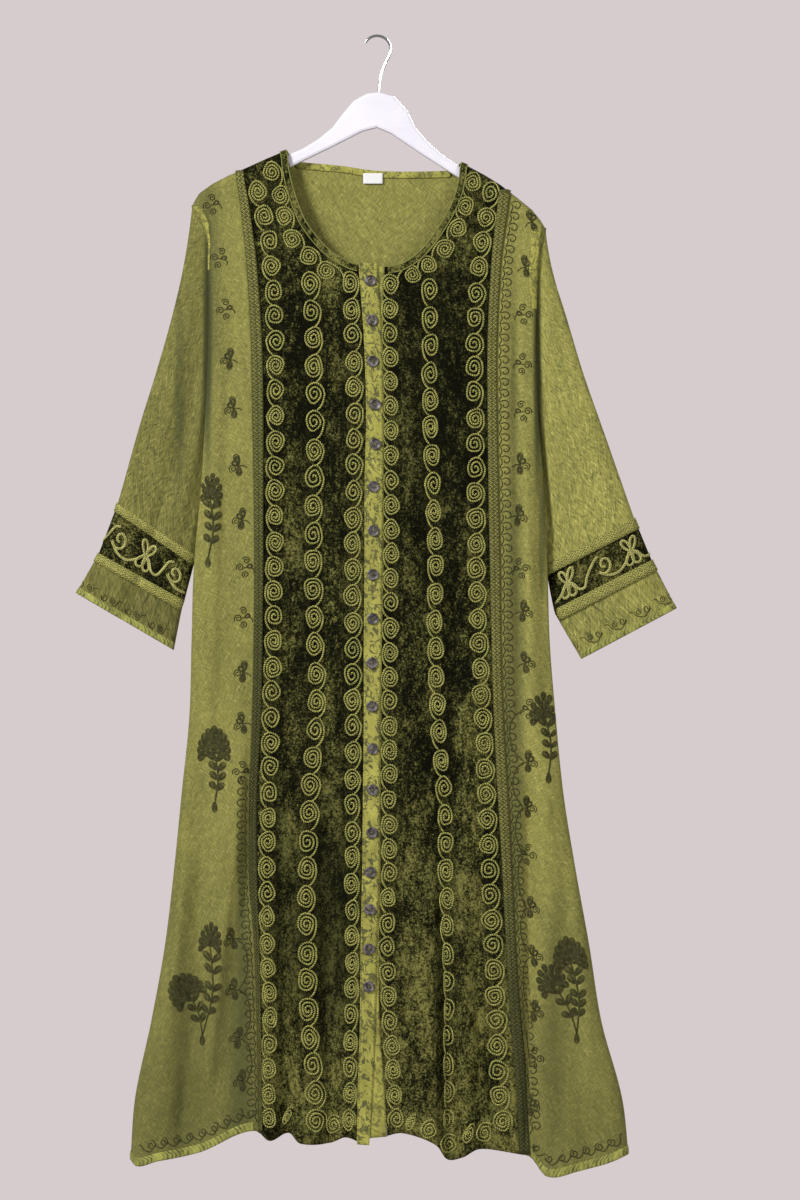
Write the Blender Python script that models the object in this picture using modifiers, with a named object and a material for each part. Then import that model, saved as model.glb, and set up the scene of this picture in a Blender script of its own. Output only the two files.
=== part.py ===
"""Long button-through kaftan on a wooden hanger, modelled in metres with +Z up.

The origin is the place where the hook bears on a rail. The wearer's front faces -Y.
Tables and sizes are in millimetres: x is across, depth is the drop below the rail.
"""
import math
from collections import namedtuple

import bmesh
import bpy
import numpy as np
from mathutils import Vector

# Driving sizes, in millimetres
MM = 0.001
CLOTH = 1.6
SEAM = 0.3
LIFT = 0.55
CORD_LIFT = 0.8
RAIL = 2.0
SHOULDER_FOLD = 9.5
CORD_HALF = 13.0
CORD_THICK = 1.6
TRIM_THICK = 1.0
TRIM_TOP_ROW = 2
SKIN_GAP = 0.05
PLACKET_THICK = 1.6
PLACKET_TUCK = 2.5
NECK_STRIP = 7.5
NECK_COIL_HALF = 9.5
BUTTON_RADIUS = 7.6
BUTTON_THICK = 2.8
HANGER_THICK = 11.0
HANGER_EDGE = 3.5
HANGER_DROP = 4.0
HOOK_WIRE = 3.5
LEFT = -1
RIGHT = 1

# The front's lines at each depth: how far each lies to the viewer's left or right of centre
Left = namedtuple("Left", "depth edge trim_out trim_in outer middle inner placket")
LEFT_LINES = [
    Left(150, 236, 187, 178, 170, 88, 34, 24),
    Left(190, 236, 184, 173, 161, 88, 34, 24),
    Left(225, 236, 179, 167, 150, 88, 34, 24),
    Left(260, 222, 175, 162, 142, 88, 34, 24),
    Left(300, 221, 171, 157, 137, 88, 34, 23),
    Left(400, 221, 165, 150, 132, 83, 31, 16),
    Left(500, 225, 163, 148, 131, 81, 28, 13),
    Left(600, 231, 161, 148, 132, 82, 30, 15),
    Left(700, 240, 160, 148, 133, 83, 31, 15),
    Left(800, 243, 161, 149, 134, 80, 31, 16),
    Left(900, 246, 163, 151, 137, 79, 31, 16),
    Left(1000, 256, 167, 156, 140, 87, 31, 17),
    Left(1100, 266, 167, 156, 143, 91, 32, 18),
    Left(1200, 278, 160, 153, 142, 91, 32, 20),
    Left(1300, 296, 156, 151, 139, 89, 33, 21),
    Left(1400, 317, 154, 150, 141, 80, 35, 24),
    Left(1480, 323, 152, 148, 141, 78, 38, 25),
]
Right = namedtuple("Right", "depth edge trim_out trim_in outer middle inner under placket")
RIGHT_LINES = [
    Right(150, 219, 181, 166, 156, 70, 20, 11, 1),
    Right(190, 219, 179, 164, 154, 70, 20, 11, 1),
    Right(225, 219, 175, 160, 148, 70, 20, 11, 1),
    Right(260, 217, 170, 156, 142, 70, 20, 11, 1),
    Right(300, 213, 165, 152, 136, 70, 20, 11, 2),
    Right(400, 211, 160, 147, 130, 72, 19, 9, 7),
    Right(500, 214, 160, 147, 130, 72, 19, 11, 9),
    Right(600, 221, 162, 148, 131, 76, 20, 10, 9),
    Right(700, 226, 164, 150, 132, 79, 20, 10, 8),
    Right(800, 229, 165, 152, 135, 79, 19, 8, 7),
    Right(900, 237, 168, 155, 140, 83, 18, 7, 5),
    Right(1000, 247, 174, 160, 145, 90, 18, 6, 5),
    Right(1100, 263, 179, 166, 149, 93, 18, 6, 4),
    Right(1200, 281, 184, 171, 154, 93, 15, 4, 1),
    Right(1300, 297, 191, 177, 158, 93, 19, 5, -1),
    Right(1400, 324, 199, 185, 163, 93, 26, 12, -5),
    Right(1480, 333, 203, 189, 172, 93, 29, 16, -10),
]

# Shoulder seams, and the same slope carried across the neck
Edge = namedtuple("Edge", "x depth")
SHOULDERS = [
    Edge(-242, 224), Edge(-232, 208), Edge(-216, 196), Edge(-195, 185), Edge(-174, 176),
    Edge(-143, 162), Edge(-117, 151), Edge(-61, 129), Edge(0, 114), Edge(58, 135),
    Edge(111, 167), Edge(143, 184), Edge(164, 197), Edge(185, 213), Edge(206, 230),
    Edge(218, 245), Edge(223, 254),
]
BACK_NECK = [
    Edge(-117, 152), Edge(-111, 162), Edge(-100, 166), Edge(-48, 171), Edge(5, 178),
    Edge(90, 178), Edge(104, 175), Edge(111, 167),
]
FRONT_HEM = [
    Edge(-323, 1478), Edge(-312, 1489), Edge(-285, 1482), Edge(-232, 1471), Edge(-182, 1447),
    Edge(-156, 1443), Edge(-140, 1456), Edge(-114, 1446), Edge(-100, 1459), Edge(-61, 1459),
    Edge(-40, 1451), Edge(-9, 1461), Edge(16, 1449), Edge(38, 1446), Edge(81, 1462),
    Edge(94, 1481), Edge(112, 1478), Edge(135, 1467), Edge(190, 1474), Edge(203, 1478),
    Edge(222, 1502), Edge(261, 1496), Edge(296, 1487), Edge(333, 1472),
]
BACK_HEM = [
    Edge(-323, 1478), Edge(-250, 1466), Edge(-150, 1442), Edge(0, 1438), Edge(150, 1450),
    Edge(250, 1484), Edge(333, 1472),
]
# Where the binding is drawn along the back neck, and the label's place below it
BINDING_STEPS = (-104, -96, -72, -48, -22, 5, 48, 90, 98)
BINDING_DROP = (0.4, 8.8)
BINDING_THICK = 1.0
LABEL_SIDES = (-17, 9)
LABEL_ENDS = (181, 195)
LABEL_THICK = 0.5
LABEL_DEPTH = 1.5
LABEL_GAP = 0.2
# Top ends of the velvet's inner columns along the neck, and of its outer ones on the shoulder
NECK = {
    LEFT: [
        Edge(36, 299), Edge(64, 281), Edge(92, 246), Edge(107, 208), Edge(114, 180),
        Edge(116, 161),
    ],
    RIGHT: [
        Edge(36, 301), Edge(63, 280), Edge(89, 243), Edge(103, 214), Edge(109, 191),
        Edge(110.5, 176),
    ],
}
SHOULDER_COLUMNS = {LEFT: (118, 148, 174), RIGHT: (112.5, 137, 162)}
PLACKET_TOP = {LEFT: 304.0, RIGHT: 306.5}
# Depths of the top and the bottom corners of each placket
PLACKET_ENDS = [(301, 302), (1460, 1461)]
UNDER_ENDS = [(304.5, 306.5), (1453, 1450)]
NECK_CORNER = 7
NECK_END = 335.0

# How far the cloth stands off the hanger's middle plane, by the drop below the shoulder
Fall = namedtuple("Fall", "drop front back")
FALLS = [
    Fall(SHOULDER_FOLD, 9.5, 9.5), Fall(60, 13, 12.5), Fall(150, 17, 15), Fall(300, 21, 19),
    Fall(600, 25, 24), Fall(900, 30, 29), Fall(1300, 38, 36), Fall(1460, 42, 39),
]
# The armhole and side seam: share of the way from shoulder to underarm, how far the seam
# is tucked inside the front edge, and where its front and back sides lie
Tuck = namedtuple("Tuck", "share tuck front back")
TUCKS = [
    Tuck(0.0, -6, -0.2, 0.2), Tuck(0.02, -5.5, -4.8, 4.8), Tuck(0.06, -4, -7, 7),
    Tuck(0.14, -2, -7.5, 8), Tuck(0.3, 5, -5, 7), Tuck(0.5, 6.5, -3, 6.5),
    Tuck(0.85, 6.5, -3, 4.5), Tuck(1.0, 6.5, -0.6, -0.2), Tuck(1.66, 6.5, -0.8, -0.4),
    Tuck(2.25, 2.5, -2, -1.6), Tuck(6.0, 2.5, -2, -1.6),
]
SHOULDER_POINT = {LEFT: Edge(242, 224), RIGHT: Edge(223, 254)}
SEAM_HEM = {LEFT: 1478.0, RIGHT: 1472.0}
UNDERARM_SHARE = 0.205
EDGE_ROUND = 24.0
EDGE_FLATTEN = 0.4
EDGE_STEPS = (0.4, 0.12, 0)
BACK_ROUND = 26.0

# Soft folds: x where each starts and where it reaches the hem, the depth where it starts,
# how far it stands out at the hem (behind is negative) and its half width
Fold = namedtuple("Fold", "top_x hem_x start rise half")
FRONT_FOLDS = [
    Fold(-112, -117, 760, -7, 13), Fold(-86, -84, 760, 2, 24), Fold(-58, -59, 900, -7, 11),
    Fold(-4, -10, 900, 3, 24), Fold(52, 66, 850, 6, 19), Fold(84, 98, 880, -11, 12),
    Fold(112, 121, 900, 5, 13), Fold(136, 145, 950, -5, 10), Fold(-188, -200, 620, 8, 20),
    Fold(-222, -243, 700, -6, 17), Fold(-240, -277, 800, 5, 17), Fold(194, 213, 760, -9, 13),
    Fold(212, 242, 700, 7, 18), Fold(226, 281, 800, -6, 16), Fold(-196, -196, 330, -2, 12),
]
BACK_FOLDS = [
    Fold(-150, -230, 500, 7, 24), Fold(-95, -140, 650, -7, 20), Fold(-30, -55, 560, 6, 24),
    Fold(35, 40, 700, -7, 20), Fold(85, 130, 600, 7, 24), Fold(140, 215, 700, -6, 22),
]
FOOT = 1460.0

# Grid lines down each panel, as a share of its length, and across the back
ROWS = [0, 0.0035, 0.012, 0.05, 0.085, 0.125, 0.165, 0.193, UNDERARM_SHARE, 0.26, 0.32,
        0.39, 0.46, 0.53, 0.6, 0.67, 0.74, 0.8, 0.85, 0.895, 0.935, 0.97, 1]
BACK_COLUMNS = [0, 0.015, 0.045, 0.1, 0.18, 0.269, 0.288, 0.316, 0.402, 0.488, 0.585,
                0.671, 0.718, 0.74, 0.759, 0.84, 0.91, 0.955, 0.985, 1]

# Sleeve stations from armhole to cuff: outer fold, inner fold, half depth, middle plane
# The trims and the cuff's end are given as stations, and the crease as its place and depth
Station = namedtuple("Station", "out_x out_depth in_x in_depth half middle")
SLEEVE_STATIONS = {
    LEFT: [
        Station(242, 225, 215, 481, 8, 0), Station(251, 290, 220, 508, 9, 3),
        Station(269, 369, 222, 544, 11, 5), Station(290, 443, 225, 584, 12, 5),
        Station(312, 514, 229, 624, 12, 5), Station(333, 589, 233, 663, 12, 5),
        Station(341, 617, 237, 687, 13, 5), Station(345, 628, 241, 700, 13, 5),
        Station(366, 683, 253, 746, 13, 5), Station(372, 694, 257, 760, 13, 5),
        Station(396, 736, 267, 811, 14, 5),
    ],
    RIGHT: [
        Station(223, 255, 208, 504, 8, 0), Station(231, 305, 211.5, 530, 9, 1.5),
        Station(252, 373, 214, 561, 11, 5), Station(273, 443, 216.5, 595, 12, 5),
        Station(296, 509, 218.5, 634, 12, 5), Station(322, 583, 221.5, 676, 12, 5),
        Station(341, 637, 224, 700, 13, 5), Station(347, 651, 226, 713, 13, 5),
        Station(364, 692, 235, 758, 13, 5), Station(371, 706, 242, 773, 13, 5),
        Station(397, 756, 271, 823, 14, 5),
    ],
}
UPPER_TRIM = (6, 6.5, 7)
LOWER_TRIM = (8, 8.5, 9)
CUFF_END = 10
STATION_GAP = 0.02
SLEEVE_ROUND = 3.0
SLEEVE_GAP = 0.35
TIP_DROP = 1.2
SLEEVE_CREASE = {LEFT: (0.47, 4.0), RIGHT: (0.4, 2.5)}

# The button line down the placket
Button = namedtuple("Button", "depth x")
BUTTONS = [
    Button(325, -7), Button(377, -5), Button(431, -4), Button(488, -1), Button(540, -1),
    Button(596, -3), Button(654, -3), Button(712, -4), Button(770, -4), Button(828, -5),
    Button(885, -5), Button(941, -4), Button(995, -4), Button(1051, -5), Button(1103, -7),
    Button(1152, -8), Button(1204, -9), Button(1253, -9),
]
# The coiled cord beside the neck, each coil's middle
NECK_COILS = {
    LEFT: [Edge(-137, 181), Edge(-126, 212), Edge(-120.5, 240), Edge(-110, 270),
           Edge(-88, 293), Edge(-65, 312)],
    RIGHT: [Edge(127.5, 195), Edge(118, 227), Edge(108, 256), Edge(91, 283),
            Edge(69, 304), Edge(48, 317)],
}
Column = namedtuple("Column", "name first last coils cell")
COIL_COLUMNS = {
    LEFT: [Column("inner", 328, 1428, 33, 1), Column("middle", 328, 1430, 31, 4),
           Column("outer", 206, 1428, 38, 8)],
    RIGHT: [Column("inner", 330, 1428, 35, 1), Column("middle", 337, 1430, 31, 4),
            Column("outer", 209, 1430, 38, 8)],
}

# The hanger's upper edge between the shoulders, its lower edge, the x of its two ends with
# how far they drop under the shoulder, and where its top lies along the shoulder seams
HANGER_NECK = [
    Edge(-119, 158.5), Edge(-97, 149.5), Edge(-75, 136), Edge(-57, 121), Edge(-43.5, 103),
    Edge(-29, 86), Edge(-12, 76.5), Edge(4, 74.6), Edge(24, 80), Edge(42, 100),
    Edge(52, 121), Edge(66.5, 138.6), Edge(86, 156.5), Edge(113, 174.5),
]
HANGER_UNDER = [
    Edge(206, 256), Edge(160, 216), Edge(107, 187), Edge(59, 156.4), Edge(20, 130),
    Edge(1.3, 122), Edge(-18, 127), Edge(-61, 149), Edge(-115, 175), Edge(-170, 199),
    Edge(-214, 217),
]
HANGER_ENDS = (-219, 209)
HANGER_TIPS = (5, 8)
HANGER_REST = {LEFT: (-208, -190, -165, -140), RIGHT: (135, 165, 188, 200)}
HOOK_MIDDLE = Edge(1.5, 18.3)
HOOK_RADIUS = 18.0
HOOK_START = -28
HOOK_TURN = 178
HOOK_STEPS = 12
HOOK_STEM = [Edge(4, 74.2), Edge(4.6, 66), Edge(5.6, 57), Edge(8.2, 47), Edge(12.2, 37)]


def smooth(value):
    """Ease from 0 to 1."""
    value = min(max(value, 0.0), 1.0)
    return value * value * (3 - 2 * value)


def curve_through(keys, values, key):
    """Read a smooth curve through a short table, held at its end values."""
    if key <= keys[0]:
        return values[0]
    if key >= keys[-1]:
        return values[-1]
    i = int(np.searchsorted(keys, key)) - 1
    before = max(i - 1, 0)
    after = min(i + 2, len(keys) - 1)
    span = keys[i + 1] - keys[i]
    t = (key - keys[i]) / span
    slope_a = (values[i + 1] - values[before]) / (keys[i + 1] - keys[before]) * span
    slope_b = (values[after] - values[i]) / (keys[after] - keys[i]) * span
    t2 = t * t
    t3 = t2 * t
    return ((2 * t3 - 3 * t2 + 1) * values[i] + (t3 - 2 * t2 + t) * slope_a
            + (3 * t2 - 2 * t3) * values[i + 1] + (t3 - t2) * slope_b)


def columns_of(rows):
    """Turn a table of named rows into one list for each named column."""
    return {name: [float(getattr(row, name)) for row in rows] for name in rows[0]._fields}


LINES = {LEFT: columns_of(LEFT_LINES), RIGHT: columns_of(RIGHT_LINES)}
FALL = columns_of(FALLS)
TUCK = columns_of(TUCKS)
SHOULDER = columns_of(SHOULDERS)
HEM = {"front": columns_of(FRONT_HEM), "back": columns_of(BACK_HEM)}
BACK_TOP = columns_of(BACK_NECK)


def line(side, name, depth):
    """Distance of a named line from the centre, outwards on its own side."""
    table = LINES[side]
    return curve_through(table["depth"], table[name], depth)


def shoulder(x):
    return float(np.interp(x, SHOULDER["x"], SHOULDER["depth"]))


def hem(face, x):
    return curve_through(HEM[face]["x"], HEM[face]["depth"], x)


def stand_off(face, drop):
    """How far the cloth stands off the middle plane at a drop below the shoulder."""
    drop = max(drop, 0.05)
    if drop < SHOULDER_FOLD:
        return math.sqrt(SHOULDER_FOLD ** 2 - (SHOULDER_FOLD - drop) ** 2)
    return curve_through(FALL["drop"], FALL[face], drop)


def seam_share(side, depth):
    """Share of the way from the shoulder point to the underarm."""
    top = SHOULDER_POINT[side].depth
    return (depth - top) / (UNDERARM_SHARE * (SEAM_HEM[side] - top))


def tucked(side, name, depth):
    return float(np.interp(seam_share(side, depth), TUCK["share"], TUCK[name]))


def side_seam(side, depth):
    """Distance of the armhole or side seam from the centre."""
    return line(side, "edge", depth) - tucked(side, "tuck", depth)


def fold_rise(folds, x, depth):
    rise = 0.0
    for fold in folds:
        along = (depth - fold.start) / (FOOT - fold.start)
        if along <= 0:
            continue
        middle = fold.top_x + (fold.hem_x - fold.top_x) * along
        rise += fold.rise * smooth(along) * math.exp(-((x - middle) / fold.half) ** 2)
    return rise


def front_y(x, depth):
    """The front's outer face, seen as a height over the x and depth plane."""
    side = LEFT if x < 0 else RIGHT
    drop = depth - shoulder(x)
    reach = stand_off("front", drop)
    inside = min(max(line(side, "edge", depth) - side * x, 0.0) / EDGE_ROUND, 1.0)
    turn = 1 - math.sqrt(1 - (1 - inside) ** 2)
    reach *= 1 - EDGE_FLATTEN * turn * smooth((drop - 30) / 80)
    return -(SEAM / 2 + reach + fold_rise(FRONT_FOLDS, x, depth) * (1 - turn))


def velvet_columns(side, depth):
    """The velvet's columns at a depth, outwards from the placket to the trim's middle."""
    inner = line(side, "inner", depth)
    middle = line(side, "middle", depth)
    outer = line(side, "outer", depth)
    trim_in = line(side, "trim_in", depth)
    if side == LEFT:
        start = line(side, "placket", depth) - PLACKET_TUCK
        limit = start + PLACKET_TUCK + 1.5
    else:
        start = line(side, "under", depth) + SEAM
        limit = start + 1.0
    inner_a = max(inner - CORD_HALF, limit)
    inner_b = inner + CORD_HALF
    middle_a = middle - CORD_HALF
    middle_b = middle + CORD_HALF
    outer_a = outer - CORD_HALF
    outer_b = min(outer + CORD_HALF, trim_in - 1.0)
    seam = (trim_in + line(side, "trim_out", depth)) / 2 - SEAM / 2
    third = (outer_a - middle_b) / 3
    return [start, inner_a, inner_b, (inner_b + middle_a) / 2, middle_a, middle_b,
            middle_b + third, outer_a - third, outer_a, outer_b, seam]


def side_columns(side, depth):
    """The side front's flat columns, outwards from the trim's middle to the body's edge."""
    trim_out = line(side, "trim_out", depth)
    seam = (line(side, "trim_in", depth) + trim_out) / 2 + SEAM / 2
    edge = line(side, "edge", depth)
    first = trim_out + 1.5
    last = edge - EDGE_ROUND
    between = [first + (last - first) * k / 4 for k in range(5)]
    return [seam] + between + [edge - EDGE_ROUND * share for share in EDGE_STEPS]


def read_columns(columns, column):
    low = min(max(int(math.floor(column)), 0), len(columns) - 2)
    return columns[low] + (columns[low + 1] - columns[low]) * (column - low)


def neck_tops(side):
    """Where each velvet column starts, with the placket and the trim's middle at the ends."""
    start = velvet_columns(side, PLACKET_TOP[side])[0]
    depth = 190.0
    for _ in range(12):
        seam = velvet_columns(side, depth)[-1]
        depth = shoulder(side * seam)
    along_neck = NECK[side][:NECK_CORNER - 1]
    along_shoulder = [Edge(x, shoulder(side * x)) for x in SHOULDER_COLUMNS[side]]
    return [Edge(start, PLACKET_TOP[side])] + along_neck + along_shoulder + [Edge(seam, depth)]


def velvet_point(side, column, depth, tops):
    """A point of the velvet, whose columns lean out from their lines near the neck."""
    out = read_columns(velvet_columns(side, depth), column)
    top_x = read_columns([top.x for top in tops], column)
    top_depth = read_columns([top.depth for top in tops], column)
    shift = top_x - read_columns(velvet_columns(side, top_depth), column)
    out += shift * (1 - smooth((depth - top_depth) / (NECK_END - top_depth)))
    x = side * out
    return Vector((x, front_y(x, depth), -depth))


def side_point(side, column, depth):
    """Side front: flat columns, then two that turn back under the edge to the seam."""
    columns = side_columns(side, depth)
    last = len(columns) - 1
    if column <= last:
        x = side * read_columns(columns, column)
        return Vector((x, front_y(x, depth), -depth))
    back = min((column - last) / 2, 1.0)
    edge = columns[-1]
    out = edge - tucked(side, "tuck", depth) * back
    level = depth - shoulder(side * out) + shoulder(side * edge)
    edge_y = front_y(side * edge, level)
    y = edge_y + (tucked(side, "front", depth) - edge_y) * back
    return Vector((side * out, y, -depth))


def back_point(column, depth):
    share = read_columns(BACK_COLUMNS, column)
    left = -side_seam(LEFT, depth)
    right = side_seam(RIGHT, depth)
    x = left + (right - left) * share
    side = LEFT if share < 0.5 else RIGHT
    drop = depth - shoulder(x)
    corner = BACK_ROUND * (0.3 + 0.7 * smooth((drop - 30) / 80))
    inside = min(max(x - left if side == LEFT else right - x, 0.0) / corner, 1.0)
    turn = math.sqrt(1 - (1 - inside) ** 2)
    start = tucked(side, "back", depth)
    reach = SEAM / 2 + stand_off("back", drop)
    reach += fold_rise(BACK_FOLDS, x, depth)
    return Vector((x, start + (reach - start) * turn, -depth))


def under_placket_point(column, depth):
    left = -line(LEFT, "placket", depth) + PLACKET_TUCK + SEAM
    x = left + (line(RIGHT, "under", depth) - left) * column
    return Vector((x, front_y(x, depth), -depth))


def placket_point(column, depth):
    left = -line(LEFT, "placket", depth)
    x = left + (line(RIGHT, "placket", depth) - left) * column
    return Vector((x, front_y(x, depth), -depth))


def sleeve_point(side, turn, station):
    """A point of the sleeve: turn runs from -1, the inner fold, by the front to 1."""
    rows = SLEEVE_STATIONS[side]
    keys = list(range(len(rows)))
    row = [curve_through(keys, [float(r[k]) for r in rows], station) for k in range(6)]
    out_x, out_depth, in_x, in_depth, half, middle = row
    across = min(abs(turn), 1.0)
    sign = -1 if turn < 0 else 1
    x = out_x + (in_x - out_x) * across
    depth = out_depth + (in_depth - out_depth) * across
    bulge = max(1 - abs(2 * across - 1) ** SLEEVE_ROUND, 0.0) ** (1 / SLEEVE_ROUND)
    where, deep = SLEEVE_CREASE[side]
    dent = deep * math.exp(-((across - where) / 0.09) ** 2) * smooth((station - 3) / 4)
    y = middle + sign * (half * bulge + 0.2) + (dent if sign < 0 else 0.0)
    start = smooth(station / 1.5)
    if start < 1:
        top = SHOULDER_POINT[side].depth
        seam_depth = top + UNDERARM_SHARE * (SEAM_HEM[side] - top) * across
        seam_x = side_seam(side, seam_depth) + SLEEVE_GAP
        seam_y = tucked(side, "front" if sign < 0 else "back", seam_depth)
        x = seam_x + (x - seam_x) * start
        y = seam_y + (y - seam_y) * start
        seam_depth += TIP_DROP * (1 - smooth(across / 0.1))
        depth = seam_depth + (depth - seam_depth) * start
    return Vector((side * x, y, -depth))


def facing(point, u, v, step_u, step_v, sign):
    """Outward direction of a surface from two small steps along it."""
    across = point(u + step_u, v) - point(u - step_u, v)
    down = point(u, v + step_v) - point(u, v - step_v)
    return across.cross(down).normalized() * sign


Panel = namedtuple("Panel", "points normals depths")


def armhole_facing(side, face, share, alone):
    """The outward direction at the armhole: shared at the shoulder, alone lower down."""

    def sleeve(around, station):
        return sleeve_point(side, around, station)

    if share == 0:
        top_fold = facing(sleeve, 0.0, 0.02, 0.004, 0.01, -side)
        return Vector((top_fold.x, 0, top_fold.z)).normalized()
    top = SHOULDER_POINT[side].depth
    depth = top + (SEAM_HEM[side] - top) * share
    turn = share / UNDERARM_SHARE
    shared = 1 - smooth((turn - 0.1) / 0.2)
    if shared == 0:
        return alone
    if face == "front":
        def body(column, down):
            return side_point(side, column, down)
        last = len(side_columns(side, depth)) + 1
        own = facing(body, last - 0.06, depth + 0.02, 0.05, 0.4, -side)
        turn = -turn
    else:
        last = len(BACK_COLUMNS) - 1.01
        own = facing(back_point, 0.01 if side == LEFT else last, depth + 0.02, 0.01, 0.4, 1)
    common = (own + facing(sleeve, turn, 0.02, 0.004, 0.01, -side)).normalized()
    return alone.lerp(common, shared).normalized()


def grid_panel(point, columns, tops, hems, sign, upright=(), armholes=None):
    """Points and outward directions of a panel on its columns and rows.

    Columns in upright end at the shoulder seam, where the wall's edge stands upright.
    Armholes gives the side and the face of each column that is sewn to a sleeve.
    """
    armholes = armholes or {}
    points, normals, depths = [], [], []
    for share in ROWS:
        row_points, row_normals, row_depths = [], [], []
        for i, column in enumerate(columns):
            depth = tops[i] + (hems[i] - tops[i]) * share
            probe = min(max(column, columns[0] + 0.01), columns[-1] - 0.06) \
                if column in armholes else column
            found = facing(point, probe, depth + 0.02, 0.01 if probe < 1 else 0.05, 0.4, sign)
            if column in armholes and share < UNDERARM_SHARE:
                found = armhole_facing(*armholes[column], share, found)
            elif share == 0 and column in upright:
                found = Vector((found.x, 0, found.z)).normalized()
            row_points.append(point(column, depth))
            row_normals.append(found)
            row_depths.append(depth)
        points.append(row_points)
        normals.append(row_normals)
        depths.append(row_depths)
    return Panel(points, normals, depths)


def on_panel(panel, column, row):
    """A point and direction on a panel's flat triangles, two to a cell."""
    rows = len(panel.points) - 1
    cols = len(panel.points[0]) - 1
    j = min(max(int(row), 0), rows - 1)
    i = min(max(int(column), 0), cols - 1)
    v = row - j
    u = column - i
    pairs = []
    for grid in (panel.points, panel.normals):
        start = grid[j][i]
        end = grid[j + 1][i + 1]
        if u >= v:
            corner = grid[j][i + 1]
            pairs.append(start + (corner - start) * u + (end - corner) * v)
        else:
            corner = grid[j + 1][i]
            pairs.append(start + (corner - start) * v + (end - corner) * u)
    return pairs[0], pairs[1].normalized()


def row_at(panel, column, depth):
    """The row, with its fraction, where a panel's column reaches a depth."""
    i = min(int(column), len(panel.depths[0]) - 2)
    u = column - i
    depths = [row[i] + (row[i + 1] - row[i]) * u for row in panel.depths]
    return float(np.interp(depth, depths, list(range(len(depths)))))


def locate(panel, x, depth):
    """The column and row of a panel at a place given by x and depth."""
    count = len(panel.points[0])
    across = []
    for i in range(count):
        row = row_at(panel, i, depth)
        across.append(on_panel(panel, i, row)[0].x)
    keys = list(range(count))
    if across[0] > across[-1]:
        across = across[::-1]
        keys = keys[::-1]
    column = float(np.interp(x, across, keys))
    return column, row_at(panel, column, depth)


def paint(name, color, roughness, metallic=0.0):
    material = bpy.data.materials.new(name)
    material.use_nodes = True
    shader = material.node_tree.nodes["Principled BSDF"]
    shader.inputs["Base Color"].default_value = (*color, 1.0)
    shader.inputs["Roughness"].default_value = roughness
    shader.inputs["Metallic"].default_value = metallic
    return material


def to_world(point):
    return Vector((point.x, point.y, point.z + RAIL)) * MM


def finish(bm, name, material, collection, smooth_angle=40):
    if bm.calc_volume(signed=True) < 0:
        bmesh.ops.reverse_faces(bm, faces=bm.faces[:])
    mesh = bpy.data.meshes.new(name)
    bm.to_mesh(mesh)
    bm.free()
    mesh.materials.append(material)
    mesh.shade_smooth()
    mesh.set_sharp_from_angle(angle=math.radians(smooth_angle))
    piece = bpy.data.objects.new(name, mesh)
    collection.objects.link(piece)
    return piece


def wall(name, points, normals, material, collection, thick=CLOTH, lift=0.0):
    """A closed cloth wall: a grid bent to the points, thickened to its inside."""
    rows = len(points)
    cols = len(points[0])
    bm = bmesh.new()
    bmesh.ops.create_grid(bm, x_segments=cols - 1, y_segments=rows - 1, size=1.0)
    place = bm.verts.layers.int.new("place")
    bm.verts.ensure_lookup_table()
    for vert in bm.verts:
        vert[place] = vert.index
    outer_count = len(bm.verts)
    bmesh.ops.triangulate(bm, faces=bm.faces[:], quad_method="FIXED")
    bmesh.ops.solidify(bm, geom=bm.faces[:], thickness=0.01)
    bm.verts.ensure_lookup_table()
    for vert in bm.verts:
        j, i = divmod(vert[place], cols)
        out = lift + thick if vert.index < outer_count else lift
        if lift == 0.0:
            out -= thick
        vert.co = to_world(points[j][i] + normals[j][i] * out)
    return finish(bm, name, material, collection)


def shoulder_top(side, column, point):
    """Depth where a column of the front or back meets the shoulder seam."""
    depth = 200.0
    for _ in range(12):
        depth = shoulder(point(column, depth).x)
    return depth


def coil_strip(panel, spots, name, material, collection):
    """A cord of coils: narrow where it links, wide over each coil.

    Each spot is a left and a right column with a depth, read on the panel's own cells.
    """
    points, normals = [], []
    for left, right, depth in spots:
        row_points, row_normals = [], []
        for column in (left, right):
            found, facing_out = on_panel(panel, column, row_at(panel, column, depth))
            row_points.append(found)
            row_normals.append(facing_out)
        points.append(row_points)
        normals.append(row_normals)
    return wall(name, points, normals, material, collection, CORD_THICK, CORD_LIFT)


def column_of_coils(panel, column, name, material, collection):
    pitch = (column.last - column.first) / (column.coils - 1)
    spots = []
    for k in range(column.coils):
        depth = column.first + k * pitch
        middle = column.cell + 0.5
        for step, half in ((-0.49, 0.1), (-0.22, 0.47), (0.22, 0.47))[k == 0:]:
            spots.append((middle - half, middle + half, depth + step * pitch))
    end = column.first + (column.coils - 0.51) * pitch
    spots.append((column.cell + 0.4, column.cell + 0.6, end))
    return coil_strip(panel, spots, name, material, collection)


def neck_of_coils(panel, coils, name, material, collection):
    """The coils that follow the neck, each as wide as the distance to the next allows."""
    middles = [Vector((coil.x, coil.depth)) for coil in coils]
    points, normals = [], []
    for k, middle in enumerate(middles):
        before = middles[max(k - 1, 0)]
        after = middles[min(k + 1, len(middles) - 1)]
        along = (after - before).normalized()
        across = Vector((along.y, -along.x))
        reach = min((middles[k] - middles[k - 1]).length if k else 30.0, 32.0) / 2
        steps = [(-reach, 2.5), (-reach * 0.45, NECK_COIL_HALF), (reach * 0.45, NECK_COIL_HALF)]
        if k == 0:
            steps = steps[1:]
        for step, half in steps:
            row_points, row_normals = [], []
            for sign in (-1, 1):
                spot = middle + along * step + across * half * sign
                found, facing_out = on_panel(panel, *locate(panel, spot.x, spot.y))
                row_points.append(found)
                row_normals.append(facing_out)
            points.append(row_points)
            normals.append(row_normals)
    return wall(name, points, normals, material, collection, CORD_THICK, CORD_LIFT)


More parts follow.
